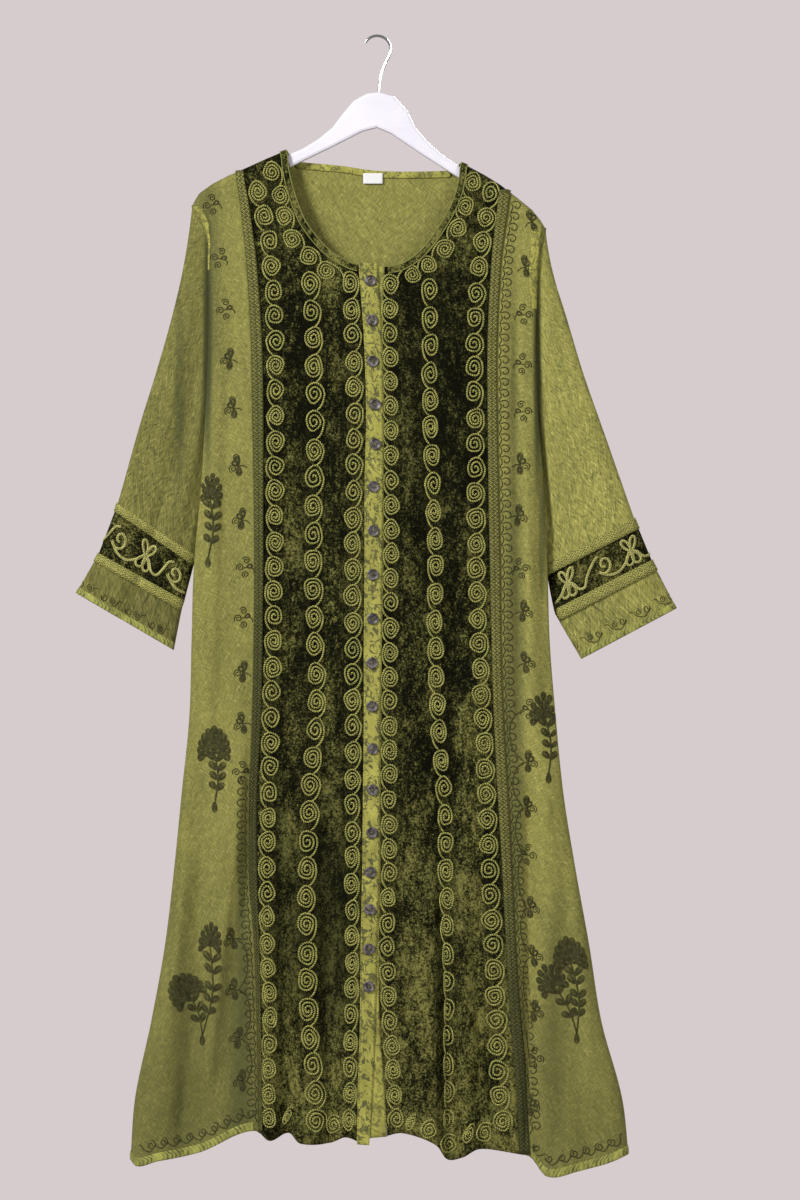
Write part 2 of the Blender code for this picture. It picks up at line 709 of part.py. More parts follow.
def neck_strip(panel, side, material, collection):
    """The velvet strip that finishes the front neck edge, from placket to shoulder."""
    edge = [Vector((side * top.x, top.depth)) for top in neck_tops(side)[:NECK_CORNER + 1]]
    points, normals = [], []
    for k in range(len(edge)):
        before = edge[max(k - 1, 0)]
        after = edge[min(k + 1, len(edge) - 1)]
        along = (after - before).normalized()
        across = Vector((along.y, -along.x)) * side * -1
        inner = edge[k] + across * NECK_STRIP
        if k == len(edge) - 1:
            inner = Vector((edge[k].x + side * NECK_STRIP * 0.8, edge[k].y + 10))
        found, facing_out = on_panel(panel, k, 0.0)
        low, low_out = on_panel(panel, *locate(panel, inner.x, inner.y))
        points.append([found, low])
        normals.append([facing_out, low_out])
    if side == RIGHT:
        points = [row[::-1] for row in points]
        normals = [row[::-1] for row in normals]
    name = "neck_strip_left" if side == LEFT else "neck_strip_right"
    return wall(name, points[1:-1], normals[1:-1], material, collection, TRIM_THICK, LIFT)


def trim_down(side, velvet, side_front, material, collection):
    """The tape over the seam of velvet and side front, from its points moved out."""
    points, normals = [], []
    for j in range(TRIM_TOP_ROW, len(ROWS)):
        depth = velvet.depths[j][-1]
        inner_x = side * line(side, "trim_in", depth)
        outer_x = side * line(side, "trim_out", depth)
        a, a_out = on_panel(velvet, *locate(velvet, inner_x, depth))
        b, b_out = on_panel(side_front, 0, j)
        c, c_out = on_panel(side_front, *locate(side_front, outer_x, depth))
        points.append([a, b, c])
        normals.append([a_out, b_out, c_out])
    name = "trim_left" if side == LEFT else "trim_right"
    return wall(name, points, normals, material, collection, TRIM_THICK, LIFT)


def sleeve_turns():
    """Turns round the sleeve that meet the rows of the armhole."""
    half = [share / UNDERARM_SHARE for share in ROWS if share <= UNDERARM_SHARE]
    return [-turn for turn in half[::-1]] + half[1:]


def sleeve_grid(side, stations):
    turns = sleeve_turns()
    points, normals = [], []

    def point(turn, station):
        return sleeve_point(side, turn, station)

    for station in stations:
        probe = max(station, 0.02)
        row_normals = []
        for turn in turns:
            found = facing(point, turn, probe, 0.004, 0.01, -side)
            if abs(turn) == 1:
                found = (facing(point, -0.995, probe, 0.004, 0.01, -side)
                         + facing(point, 0.995, probe, 0.004, 0.01, -side)).normalized()
            elif station == 0:
                face = "front" if turn < 0 else "back"
                found = armhole_facing(side, face, abs(turn) * UNDERARM_SHARE, found)
            row_normals.append(found)
        points.append([point(turn, station) for turn in turns])
        normals.append(row_normals)
    return points, normals


def hanger_body(material, collection):
    """Flat wooden arms, cut from one board, with rounded edges."""
    tips = [(x, shoulder(x) + HANGER_DROP + drop) for x, drop in zip(HANGER_ENDS, HANGER_TIPS)]
    outline = [tips[0]]
    outline += [(x, shoulder(x) + HANGER_DROP) for x in HANGER_REST[LEFT]]
    outline += [(spot.x, spot.depth) for spot in HANGER_NECK]
    outline += [(x, shoulder(x) + HANGER_DROP) for x in HANGER_REST[RIGHT]]
    outline += [tips[1]]
    outline += [(spot.x, spot.depth) for spot in HANGER_UNDER]
    flat = bpy.data.curves.new("hanger_outline", "CURVE")
    flat.dimensions = "2D"
    flat.fill_mode = "BOTH"
    flat.extrude = HANGER_THICK / 2 * MM
    spline = flat.splines.new("POLY")
    spline.points.add(len(outline) - 1)
    spline.use_cyclic_u = True
    for spot, (x, depth) in zip(spline.points, outline):
        spot.co = (x * MM, (RAIL - depth) * MM, 0.0, 1.0)
    guide = bpy.data.objects.new("hanger_outline", flat)
    collection.objects.link(guide)
    bpy.context.view_layer.update()
    mesh = bpy.data.meshes.new_from_object(
        guide.evaluated_get(bpy.context.evaluated_depsgraph_get()))
    bpy.data.objects.remove(guide)
    bm = bmesh.new()
    bm.from_mesh(mesh)
    bmesh.ops.remove_doubles(bm, verts=bm.verts[:], dist=0.00001)
    bmesh.ops.dissolve_limit(bm, angle_limit=math.radians(1), verts=bm.verts[:],
                             edges=bm.edges[:])
    bmesh.ops.rotate(bm, verts=bm.verts[:], cent=(0, 0, 0),
                     matrix=Vector((0, 0, 1)).rotation_difference(Vector((0, -1, 0))).to_matrix())
    body = finish(bm, "hanger_body", material, collection, 50)
    bevel = body.modifiers.new("rounded_edges", "BEVEL")
    bevel.width = HANGER_EDGE * MM
    bevel.segments = 2
    bevel.limit_method = "ANGLE"
    bevel.angle_limit = math.radians(60)
    return body


def hook_path():
    points = list(HOOK_STEM)
    for k in range(HOOK_STEPS + 1):
        angle = math.radians(HOOK_START + k * HOOK_TURN / HOOK_STEPS)
        points.append(Edge(HOOK_MIDDLE.x + HOOK_RADIUS * math.cos(angle),
                           HOOK_MIDDLE.depth - HOOK_RADIUS * math.sin(angle)))
    return points


def hook(material, collection):
    """The chrome wire hook, round where it hangs and open to the viewer's left."""
    wire = bpy.data.curves.new("hook", "CURVE")
    wire.dimensions = "3D"
    wire.bevel_depth = HOOK_WIRE / 2 * MM
    wire.bevel_resolution = 2
    wire.use_fill_caps = True
    points = hook_path()
    spline = wire.splines.new("POLY")
    spline.points.add(len(points) - 1)
    for spot, place in zip(spline.points, points):
        spot.co = (place.x * MM, 0.0, (RAIL - place.depth) * MM, 1.0)
    wire.materials.append(material)
    piece = bpy.data.objects.new("hook", wire)
    collection.objects.link(piece)
    return piece


def buttons(placket, material, collection):
    """Eighteen round buttons on the placket, fastened."""
    bm = bmesh.new()
    bmesh.ops.create_cone(bm, cap_ends=True, segments=12, radius1=BUTTON_RADIUS * MM,
                          radius2=(BUTTON_RADIUS - 1.3) * MM, depth=BUTTON_THICK * MM)
    mesh = bpy.data.meshes.new("button")
    bm.to_mesh(mesh)
    bm.free()
    mesh.materials.append(material)
    mesh.shade_smooth()
    mesh.set_sharp_from_angle(angle=math.radians(30))
    out = LIFT + PLACKET_THICK + SEAM + BUTTON_THICK / 2
    for number, button in enumerate(BUTTONS, start=1):
        found, facing_out = on_panel(placket, *locate(placket, button.x, button.depth))
        piece = bpy.data.objects.new(f"button_{number:02d}", mesh)
        piece.location = to_world(found + facing_out * out)
        piece.rotation_mode = "QUATERNION"
        piece.rotation_quaternion = Vector((0, 0, 1)).rotation_difference(facing_out)
        collection.objects.link(piece)


def front_panels(woven, velvet, tape, cord, collection):
    for side, word in ((LEFT, "left"), (RIGHT, "right")):
        tops = neck_tops(side)

        def velvet_at(column, depth, side=side, tops=tops):
            return velvet_point(side, column, depth, tops)

        def side_at(column, depth, side=side):
            return side_point(side, column, depth)

        columns = list(range(len(tops)))
        hems = [hem("front", velvet_at(c, FOOT).x) for c in columns]
        centre = grid_panel(velvet_at, columns, [top.depth for top in tops], hems, -side,
                            columns[NECK_CORNER:])
        wall(f"velvet_front_{word}", centre.points, centre.normals, velvet, collection)

        side_cols = list(range(len(side_columns(side, 500.0)) + 2))
        side_tops = [shoulder_top(side, c, side_at) for c in side_cols]
        side_tops[0] = tops[-1].depth
        side_hems = [hem("front", side_at(c, FOOT).x) for c in side_cols]
        side_hems[0] = hems[-1]
        side_tops[-1] = float(SHOULDER_POINT[side].depth)
        side_hems[-1] = SEAM_HEM[side]
        flank = grid_panel(side_at, side_cols, side_tops, side_hems, -side, side_cols,
                           {side_cols[-1]: (side, "front")})
        wall(f"side_front_{word}", flank.points, flank.normals, woven, collection)

        trim_down(side, centre, flank, tape, collection)
        neck_strip(centre, side, velvet, collection)
        for column in COIL_COLUMNS[side]:
            column_of_coils(centre, column, f"coil_cord_{column.name}_{word}", cord, collection)
        neck_of_coils(centre, NECK_COILS[side], f"coil_cord_neck_{word}", cord, collection)


def placket_pieces(bright, button_material, collection):
    under = grid_panel(under_placket_point, [0, 1], UNDER_ENDS[0], UNDER_ENDS[1], -1)
    wall("under_placket", under.points, under.normals, bright, collection)
    over = grid_panel(placket_point, [0, 1], PLACKET_ENDS[0], PLACKET_ENDS[1], -1)
    wall("placket", over.points, over.normals, bright, collection, PLACKET_THICK, LIFT)
    buttons(over, button_material, collection)


def back_pieces(woven, bright, white, collection):
    columns = list(range(len(BACK_COLUMNS)))
    tops, hems = [], []
    for column in columns:
        x = back_point(column, 160.0).x
        if BACK_TOP["x"][0] - 1 < x < BACK_TOP["x"][-1] + 1:
            tops.append(curve_through(BACK_TOP["x"], BACK_TOP["depth"], x))
        else:
            tops.append(shoulder(x))
        hems.append(hem("back", back_point(column, FOOT).x))
    tops[0] = float(SHOULDER_POINT[LEFT].depth)
    tops[-1] = float(SHOULDER_POINT[RIGHT].depth)
    hems[0] = SEAM_HEM[LEFT]
    hems[-1] = SEAM_HEM[RIGHT]
    on_shoulder = [c for c in columns if tops[c] == shoulder(back_point(c, 160.0).x)]
    panel = grid_panel(back_point, columns, tops, hems, 1, on_shoulder + [0, columns[-1]],
                       {0: (LEFT, "back"), columns[-1]: (RIGHT, "back")})
    wall("back", panel.points, panel.normals, woven, collection)

    # The binding and the label lie on the inner face, towards the viewer
    def inside(x, depth, gap):
        found, facing_out = on_panel(panel, *locate(panel, x, depth))
        return found - facing_out * (CLOTH + gap), facing_out * -1

    points, normals = [], []
    for x in BINDING_STEPS:
        top = curve_through(BACK_TOP["x"], BACK_TOP["depth"], x)
        pair = [inside(x, top + drop, SEAM) for drop in BINDING_DROP]
        points.append([spot[0] for spot in pair])
        normals.append([spot[1] for spot in pair])
    wall("back_neck_binding", points, normals, bright, collection, BINDING_THICK, SKIN_GAP)

    points, normals = [], []
    for x in LABEL_SIDES:
        pair = [inside(x, depth, LABEL_DEPTH) for depth in LABEL_ENDS]
        points.append([spot[0] for spot in pair])
        normals.append([spot[1] for spot in pair])
    wall("neck_label", points, normals, white, collection, LABEL_THICK, LABEL_GAP)


def sleeves(woven, velvet, tape, collection):
    upper_stations = [0, 0.35, 1, 2, 3, 4, 5, UPPER_TRIM[0], UPPER_TRIM[1] - STATION_GAP]
    band_stations = [UPPER_TRIM[1] + STATION_GAP, UPPER_TRIM[2], 7.5, LOWER_TRIM[0],
                     LOWER_TRIM[1] - STATION_GAP]
    cuff_stations = [LOWER_TRIM[1] + STATION_GAP, LOWER_TRIM[2], 9.5, CUFF_END]
    for side, word in ((LEFT, "left"), (RIGHT, "right")):
        upper = sleeve_grid(side, upper_stations)
        wall(f"upper_sleeve_{word}", *upper, woven, collection)
        band = sleeve_grid(side, band_stations)
        wall(f"sleeve_band_{word}", *band, velvet, collection)
        cuff = sleeve_grid(side, cuff_stations)
        wall(f"cuff_{word}", *cuff, woven, collection)
        for name, trim in (("upper", UPPER_TRIM), ("lower", LOWER_TRIM)):
            strip = sleeve_grid(side, trim)
            wall(f"sleeve_trim_{name}_{word}", *strip, tape, collection, TRIM_THICK, LIFT)


def build():
    for old in list(bpy.data.objects):
        bpy.data.objects.remove(old)
    collection = bpy.data.collections.new("kaftan_on_a_hanger")
    bpy.context.scene.collection.children.link(collection)
    woven = paint("woven_green", (0.235, 0.25, 0.06), 0.8)
    velvet = paint("crushed_velvet", (0.04, 0.045, 0.01), 0.7)
    bright = paint("bright_green_binding", (0.36, 0.37, 0.07), 0.75)
    tape = paint("woven_trim", (0.17, 0.2, 0.05), 0.8)
    cord = paint("coiled_cord", (0.4, 0.4, 0.09), 0.6)
    button = paint("button", (0.16, 0.12, 0.12), 0.35)
    white = paint("painted_wood", (0.85, 0.83, 0.88), 0.35)
    paper = paint("label_cloth", (0.8, 0.78, 0.76), 0.8)
    chrome = paint("chrome", (0.75, 0.75, 0.77), 0.12, 1.0)
    front_panels(woven, velvet, tape, cord, collection)
    placket_pieces(bright, button, collection)
    back_pieces(woven, bright, paper, collection)
    sleeves(woven, velvet, tape, collection)
    hanger_body(white, collection)
    hook(chrome, collection)


build()
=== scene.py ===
import math
import random
from collections import namedtuple

import bmesh
import bpy
import numpy as np
from mathutils import Matrix, Vector


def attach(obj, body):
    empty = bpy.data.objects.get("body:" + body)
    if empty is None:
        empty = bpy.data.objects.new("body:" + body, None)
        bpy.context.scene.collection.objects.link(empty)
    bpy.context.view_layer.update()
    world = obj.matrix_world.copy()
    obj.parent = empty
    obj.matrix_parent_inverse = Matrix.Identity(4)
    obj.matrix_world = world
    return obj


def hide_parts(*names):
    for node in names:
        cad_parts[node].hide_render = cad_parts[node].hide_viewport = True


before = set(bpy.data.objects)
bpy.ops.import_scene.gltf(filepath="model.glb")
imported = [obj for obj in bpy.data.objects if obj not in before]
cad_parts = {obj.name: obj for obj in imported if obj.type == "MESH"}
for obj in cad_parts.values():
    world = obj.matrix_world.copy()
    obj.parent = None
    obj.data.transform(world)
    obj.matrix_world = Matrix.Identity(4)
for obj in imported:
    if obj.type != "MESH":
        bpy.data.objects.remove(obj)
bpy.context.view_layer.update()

# The studio. The kaftan hangs in front of a pale rose-grey wall of light, over a pale floor,
# with a large soft lamp up on the viewer's left, a weaker one on the right and one behind.
# Sizes below are millimetres: x is across, depth is the drop below the rail it hangs on.
MM = 0.001
RAIL = 2.0
PIXEL = 1.32
PHOTO_SIZE = (800, 1200)
RAIL_PIXEL = (376, 35.5)
CAMERA_AWAY = 8000.0
FILM = 36.0
WALL_LIGHT = (0.672, 0.604, 0.61)
ROOM_LIGHT = (0.22, 0.213, 0.22)
FLOOR_COLOUR = (0.62, 0.585, 0.58)
FLOOR_DEPTH = 1752.0
FLOOR_RADIUS = 1300.0
LAMP_AIM = 700.0


def rows(kind, *table):
    """A table's rows, with its columns named."""
    return [kind(*row) for row in table]


Lamp = namedtuple("Lamp", "name x depth away size watts")
LAMPS = rows(Lamp, ("key_lamp", -2300, -1200, -2500, 800, 150),
    ("fill_lamp", 2500, -300, -3300, 1800, 52), ("back_lamp", 1500, -1100, 3000, 1500, 78))


def to_world(point):
    return Vector((point.x, point.y, point.z + RAIL)) * MM


def new_object(name, bm):
    """The mesh under way as an object of the scene."""
    mesh = bpy.data.meshes.new(name)
    bm.to_mesh(mesh)
    bm.free()
    made = bpy.data.objects.new(name, mesh)
    scene.collection.objects.link(made)
    return made


scene = bpy.context.scene
scene.view_settings.view_transform = "Standard"
camera = bpy.data.objects.new("camera", bpy.data.cameras.new("camera"))
scene.collection.objects.link(camera)
scene.camera = camera
camera.data.sensor_width = FILM
camera.data.lens = FILM * CAMERA_AWAY / (PHOTO_SIZE[1] * PIXEL)
camera_x = (PHOTO_SIZE[0] / 2 - RAIL_PIXEL[0]) * PIXEL
camera_depth = (PHOTO_SIZE[1] / 2 - RAIL_PIXEL[1]) * PIXEL
camera.location = to_world(Vector((camera_x, -CAMERA_AWAY, -camera_depth)))
camera.rotation_euler = (math.pi / 2, 0, 0)

scene.world = bpy.data.worlds.new("pale_wall")
scene.world.use_nodes = True
nodes = scene.world.node_tree.nodes
links = scene.world.node_tree.links
seen = nodes.new("ShaderNodeLightPath")
both = nodes.new("ShaderNodeMix")
both.data_type = "RGBA"
links.new(seen.outputs["Is Camera Ray"], both.inputs[0])
both.inputs[6].default_value = (*ROOM_LIGHT, 1)
both.inputs[7].default_value = (*WALL_LIGHT, 1)
links.new(both.outputs[2], nodes["Background"].inputs["Color"])
for lamp in LAMPS:
    light = bpy.data.lights.new(lamp.name, "AREA")
    light.size = lamp.size * MM
    light.energy = lamp.watts
    holder = bpy.data.objects.new(lamp.name, light)
    holder.location = to_world(Vector((lamp.x, lamp.away, -lamp.depth)))
    aim = to_world(Vector((0, 0, -LAMP_AIM))) - holder.location
    holder.rotation_euler = aim.to_track_quat("-Z", "Y").to_euler()
    scene.collection.objects.link(holder)

bm = bmesh.new()
bmesh.ops.create_circle(bm, cap_ends=True, segments=96, radius=FLOOR_RADIUS * MM)
bmesh.ops.translate(bm, verts=bm.verts[:], vec=to_world(Vector((0, 0, -FLOOR_DEPTH))))
floor = new_object("floor", bm)
floor_paint = bpy.data.materials.new("floor_paint")
floor_paint.use_nodes = True
floor_shader = floor_paint.node_tree.nodes["Principled BSDF"]
floor_shader.inputs["Base Color"].default_value = (*FLOOR_COLOUR, 1)
floor_shader.inputs["Roughness"].default_value = 0.9
floor.data.materials.append(floor_paint)


# The hanger: a flat white-painted wooden board with a chrome wire hook screwed in its top.
# It holds the kaftan up by the shoulders, and the hook's bend hangs on the rail.
class Paint:
    """A material under way. Cloth has its patterns on its own UV map, in metres."""

    def __init__(self, name, roughness, cloth=False, **fixed):
        self.material = bpy.data.materials.new(name)
        self.material.use_nodes = True
        self.shader = self.material.node_tree.nodes["Principled BSDF"]
        self.shader.inputs["Roughness"].default_value = roughness
        for setting, value in fixed.items():
            self.shader.inputs[setting.replace("_", " ")].default_value = value
        self.here = self.node("UVMap").outputs["UV"] if cloth else self.on_object()

    def node(self, kind, inputs=(), **settings):
        """Add a shader node. An input given as a socket is linked, and any other is a value."""
        node = self.material.node_tree.nodes.new("ShaderNode" + kind)
        for setting, value in settings.items():
            setattr(node, setting, value)
        for key, value in dict(inputs).items():
            if isinstance(value, bpy.types.NodeSocket):
                self.material.node_tree.links.new(value, node.inputs[key])
            else:
                node.inputs[key].default_value = value
        return node

    def on_object(self):
        return self.node("TexCoord").outputs["Object"]

    def parts(self):
        return self.node("SeparateXYZ", {"Vector": self.here}).outputs

    def stretched(self, at, scale, turn=0.0):
        """A place turned by some degrees and then scaled along each axis."""
        turned = self.node("Mapping", {"Vector": at, "Rotation": (0, 0, math.radians(turn))})
        return self.node("Mapping", {
            "Vector": turned.outputs["Vector"], "Scale": scale}).outputs["Vector"]

    def noise(self, scale, detail=3.0, rough=0.55, distort=0.0, turn=0.0, at=None):
        """Noise with one scale, or with a scale for each axis after a turn."""
        at = self.here if at is None else at
        if isinstance(scale, tuple):
            at, scale = self.stretched(at, scale, turn), 1.0
        return self.node("TexNoise", {
            "Vector": at, "Scale": scale, "Detail": detail, "Roughness": rough,
            "Distortion": distort}).outputs["Fac"]

    def shades(self, value, *stops):
        """A colour ramp: each stop is its place and its colour, or a grey."""
        node = self.node("ValToRGB", {"Fac": value})
        elements = node.color_ramp.elements
        while len(elements) < len(stops):
            elements.new(0.5)
        for element, (where, colour) in zip(elements, stops):
            element.position = where
            element.color = (*(colour if isinstance(colour, tuple) else [colour] * 3), 1)
        return node.outputs["Color"]

    def maths(self, operation, first, second=0.5, third=0.5):
        return self.node("Math", {0: first, 1: second, 2: third},
                         operation=operation).outputs["Value"]

    def swayed(self, base, value, amount):
        """A value added to the base, counted from its middle."""
        return self.maths("MULTIPLY_ADD", self.maths("SUBTRACT", value, 0.5), amount, base)

    def away(self, value, middle=0.5):
        return self.maths("ABSOLUTE", self.maths("SUBTRACT", value, middle))

    def ranged(self, value, source, target, **settings):
        return self.node("MapRange", {
            "Value": value, "From Min": source[0], "From Max": source[1],
            "To Min": target[0], "To Max": target[1]}, **settings).outputs["Result"]

    def mixed(self, share, first, second, blend="MIX"):
        """Two colours mixed, where a colour may be a socket or three numbers."""
        first, second = [(*colour, 1) if isinstance(colour, tuple) else colour
                         for colour in (first, second)]
        return self.node("Mix", {0: share, 6: first, 7: second}, data_type="RGBA",
                         blend_type=blend).outputs[2]

    def link(self, value, name):
        self.material.node_tree.links.new(value, self.shader.inputs[name])

    def done(self, colour, height, strength, distance):
        """The material, with its colour and a bump that stands some millimetres high."""
        self.link(colour, "Base Color")
        self.link(self.node("Bump", {
            "Height": height, "Strength": strength, "Distance": distance * MM}).outputs["Normal"],
            "Normal")
        return self.material


def painted_wood():
    """White gloss paint, a little yellowed and worn thin in places."""
    paint = Paint("painted_wood", 0.32, Coat_Weight=0.25, Coat_Roughness=0.15)
    grain = paint.noise((25, 25, 260), 4.0)
    coat = paint.shades(paint.noise(14.0), (0.3, (0.78, 0.75, 0.82)), (0.7, (0.86, 0.83, 0.9)))
    worn = paint.shades(grain, (0.35, 0.55), (0.65, 1.0))
    return paint.done(paint.mixed(0.06, coat, worn, "MULTIPLY"), grain, 0.25, 0.3)


def chrome():
    """Polished chrome with fine scuffs where it has rubbed on rails."""
    paint = Paint("chrome", 0.12, Metallic=1.0)
    metal = paint.shades(paint.noise(40.0), (0.3, (0.55, 0.55, 0.57)), (0.7, (0.8, 0.8, 0.82)))
    paint.link(metal, "Base Color")
    paint.link(paint.ranged(paint.noise((900, 900, 120), 4.0), (0, 1), (0.06, 0.28)), "Roughness")
    return paint.material


for node_name, finish in (("hanger_body", painted_wood()), ("hook", chrome())):
    bpy.data.objects[node_name].material_slots[0].material = finish


# The velvet fronts: two long panels of crushed velvet, button edge to side panel, cut to a
# scooped neck. The pile is near-black where it stands and olive where it was pressed flat.
# They hang from the hanger in soft folds that deepen towards the hem.
LEFT = -1
RIGHT = 1
SIDES = (LEFT, RIGHT)
WORDS = {LEFT: "left", RIGHT: "right"}
VIEWER = Vector((0, -1, 0))
SEAM = 0.3
SHOULDER_FOLD = 9.5
COIL_ROW_HALF = 13.0
PLACKET_TUCK = 2.5
WALL = 1.3
NECK_CORNER = 7
NECK_END = 335.0
FOOT = 1460.0
EDGE_ROUND = 24.0
EDGE_FLATTEN = 0.4
# Where a seam meets the shoulder's slope: a first depth, and how often it is read again
NEAR_SHOULDER = 190.0
SETTLING = 12
PLACKET_TOP = {LEFT: 304.0, RIGHT: 306.5}
# The front's lines at each depth: how far each lies to the viewer's left or right of centre
Left = namedtuple("Left", "depth edge trim_out trim_in outer middle inner placket")
LEFT_LINES = rows(Left,
    (150, 236, 187, 178, 170, 88, 34, 24),
    (190, 236, 184, 173, 161, 88, 34, 24),
    (225, 236, 179, 167, 150, 88, 34, 24),
    (260, 222, 175, 162, 142, 88, 34, 24),
    (300, 221, 171, 157, 137, 88, 34, 23),
    (400, 221, 165, 150, 132, 83, 31, 16),
    (500, 225, 163, 148, 131, 81, 28, 13),
    (600, 231, 161, 148, 132, 82, 30, 15),
    (700, 240, 160, 148, 133, 83, 31, 15),
    (800, 243, 161, 149, 134, 80, 31, 16),
    (900, 246, 163, 151, 137, 79, 31, 16),
    (1000, 256, 167, 156, 140, 87, 31, 17),
    (1100, 266, 167, 156, 143, 91, 32, 18),
    (1200, 278, 160, 153, 142, 91, 32, 20),
    (1300, 296, 156, 151, 139, 89, 33, 21),
    (1400, 317, 154, 150, 141, 80, 35, 24),
    (1480, 323, 152, 148, 141, 78, 38, 25))
Right = namedtuple("Right", "depth edge trim_out trim_in outer middle inner under placket")
RIGHT_LINES = rows(Right,
    (150, 219, 181, 166, 156, 70, 20, 11, 1),
    (190, 219, 179, 164, 154, 70, 20, 11, 1),
    (225, 219, 175, 160, 148, 70, 20, 11, 1),
    (260, 217, 170, 156, 142, 70, 20, 11, 1),
    (300, 213, 165, 152, 136, 70, 20, 11, 2),
    (400, 211, 160, 147, 130, 72, 19, 9, 7),
    (500, 214, 160, 147, 130, 72, 19, 11, 9),
    (600, 221, 162, 148, 131, 76, 20, 10, 9),
    (700, 226, 164, 150, 132, 79, 20, 10, 8),
    (800, 229, 165, 152, 135, 79, 19, 8, 7),
    (900, 237, 168, 155, 140, 83, 18, 7, 5),
    (1000, 247, 174, 160, 145, 90, 18, 6, 5),
    (1100, 263, 179, 166, 149, 93, 18, 6, 4),
    (1200, 281, 184, 171, 154, 93, 15, 4, 1),
    (1300, 297, 191, 177, 158, 93, 19, 5, -1),
    (1400, 324, 199, 185, 163, 93, 26, 12, -5),
    (1480, 333, 203, 189, 172, 93, 29, 16, -10))

# Shoulder seams, and the same slope carried across the neck
Edge = namedtuple("Edge", "x depth")
SHOULDERS = rows(Edge, (-242, 224), (-232, 208), (-216, 196), (-195, 185), (-174, 176),
    (-143, 162), (-117, 151), (-61, 129), (0, 114), (58, 135), (111, 167), (143, 184), (164, 197),
    (185, 213), (206, 230), (218, 245), (223, 254))
FRONT_HEM = rows(Edge, (-323, 1478), (-312, 1489), (-285, 1482), (-232, 1471), (-182, 1447),
    (-156, 1443), (-140, 1456), (-114, 1446), (-100, 1459), (-61, 1459), (-40, 1451), (-9, 1461),
    (16, 1449), (38, 1446), (81, 1462), (94, 1481), (112, 1478), (135, 1467), (190, 1474),
    (203, 1478), (222, 1502), (261, 1496), (296, 1487), (333, 1472))
# Top ends of the velvet's inner columns along the neck, and of its outer ones on the shoulder
NECK = {
    LEFT: rows(Edge, (36, 299), (64, 281), (92, 246), (107, 208), (114, 180), (116, 161)),
    RIGHT: rows(Edge, (36, 301), (63, 280), (89, 243), (103, 214), (109, 191), (110.5, 176)),
}
SHOULDER_COLUMNS = {LEFT: (118, 148, 174), RIGHT: (112.5, 137, 162)}
# How far the cloth stands off the hanger's middle plane, by the drop below the shoulder
Fall = namedtuple("Fall", "drop front back")
FALLS = rows(Fall, (SHOULDER_FOLD, 9.5, 9.5), (60, 13, 12.5), (150, 17, 15), (300, 21, 19),
    (600, 25, 24), (900, 30, 29), (1300, 38, 36), (1460, 42, 39))
# Soft folds: x where each starts and where it reaches the hem, the depth where it starts,
# how far it stands out at the hem (behind is negative) and its half width
Fold = namedtuple("Fold", "top_x hem_x start rise half")
FRONT_FOLDS = rows(Fold, (-112, -118, 760, -7, 11), (-86, -84, 760, 2, 24),
    (-58, -59, 900, -7, 11), (-4, -10, 900, 3, 24), (52, 66, 850, 6, 19), (84, 98, 880, -11, 12),
    (112, 121, 900, 5, 13), (136, 145, 950, -5, 10), (-188, -200, 620, 8, 20),
    (-222, -243, 700, -6, 17), (-240, -277, 800, 5, 17), (194, 213, 760, -9, 13),
    (212, 242, 700, 7, 18), (226, 281, 800, -6, 16), (-196, -196, 330, -2, 12))

# Smaller creases: a line from one place to another, how far it stands out (in is negative)
# and how wide it is on the viewer's left and on the viewer's right
Crease = namedtuple("Crease", "x depth end_x end_depth rise wide_left wide_right")
FRONT_CREASES = rows(Crease, (-120, 1090, -120, 1500, -5, 9, 4.5),
    (-104, 1180, -106, 1500, 2.5, 4, 12), (-66, 1020, -62, 1500, -3.5, 7, 5),
    (-44, 960, -46, 1500, 2.5, 5, 9), (88, 1120, 93, 1520, -3, 3.5, 8),
    (76, 1060, 82, 1520, 3, 14, 3.5), (112, 1080, 118, 1500, 2.5, 6, 6),
    (130, 1150, 140, 1500, -3, 6, 5), (-100, 520, -104, 1100, -2, 10, 8),
    (-62, 420, -66, 980, -1.6, 9, 9), (46, 460, 50, 1050, 1.8, 12, 8),
    (104, 600, 108, 1080, -1.8, 8, 8), (-170, 900, -189, 1140, 8, 22, 5),
    (-189, 1090, -226, 1420, 8, 24, 6), (-160, 960, -176, 1200, -6, 6, 8),
    (-178, 1150, -206, 1420, -5, 8, 10), (-226, 1220, -262, 1480, -5, 12, 12),
    (-205, 560, -222, 960, 3.5, 16, 8), (-190, 340, -203, 700, -2.5, 8, 8),
    (-240, 1040, -300, 1470, 4, 14, 12), (204, 940, 201, 1180, -6, 8, 7),
    (201, 1120, 196, 1500, -5.5, 5, 6), (209, 1200, 210, 1500, 5.5, 5, 12),
    (236, 1160, 243, 1500, -7, 13, 13), (196, 480, 206, 960, 4, 5, 12),
    (184, 330, 188, 940, -3, 6, 6), (262, 1080, 286, 1470, 5, 13, 11),
    (216, 620, 232, 980, -3, 10, 10))
FINE_CREASES = 26


def smooth(value):
    """Ease from 0 to 1."""
    value = min(max(value, 0.0), 1.0)
    return value * value * (3 - 2 * value)


def curve_through(keys, values, key):
    """Read a smooth curve through a short table, held at its end values."""
    if key <= keys[0]:
        return values[0]
    if key >= keys[-1]:
        return values[-1]
    i = int(np.searchsorted(keys, key)) - 1
    before = max(i - 1, 0)
    after = min(i + 2, len(keys) - 1)
    span = keys[i + 1] - keys[i]
    t = (key - keys[i]) / span
    slope_a = (values[i + 1] - values[before]) / (keys[i + 1] - keys[before]) * span
    slope_b = (values[after] - values[i]) / (keys[after] - keys[i]) * span
    t2 = t * t
    t3 = t2 * t
    return ((2 * t3 - 3 * t2 + 1) * values[i] + (t3 - 2 * t2 + t) * slope_a
            + (3 * t2 - 2 * t3) * values[i + 1] + (t3 - t2) * slope_b)


def columns_of(table):
    """Turn a table of named rows into one list for each named column."""
    return {name: [float(getattr(row, name)) for row in table] for name in table[0]._fields}


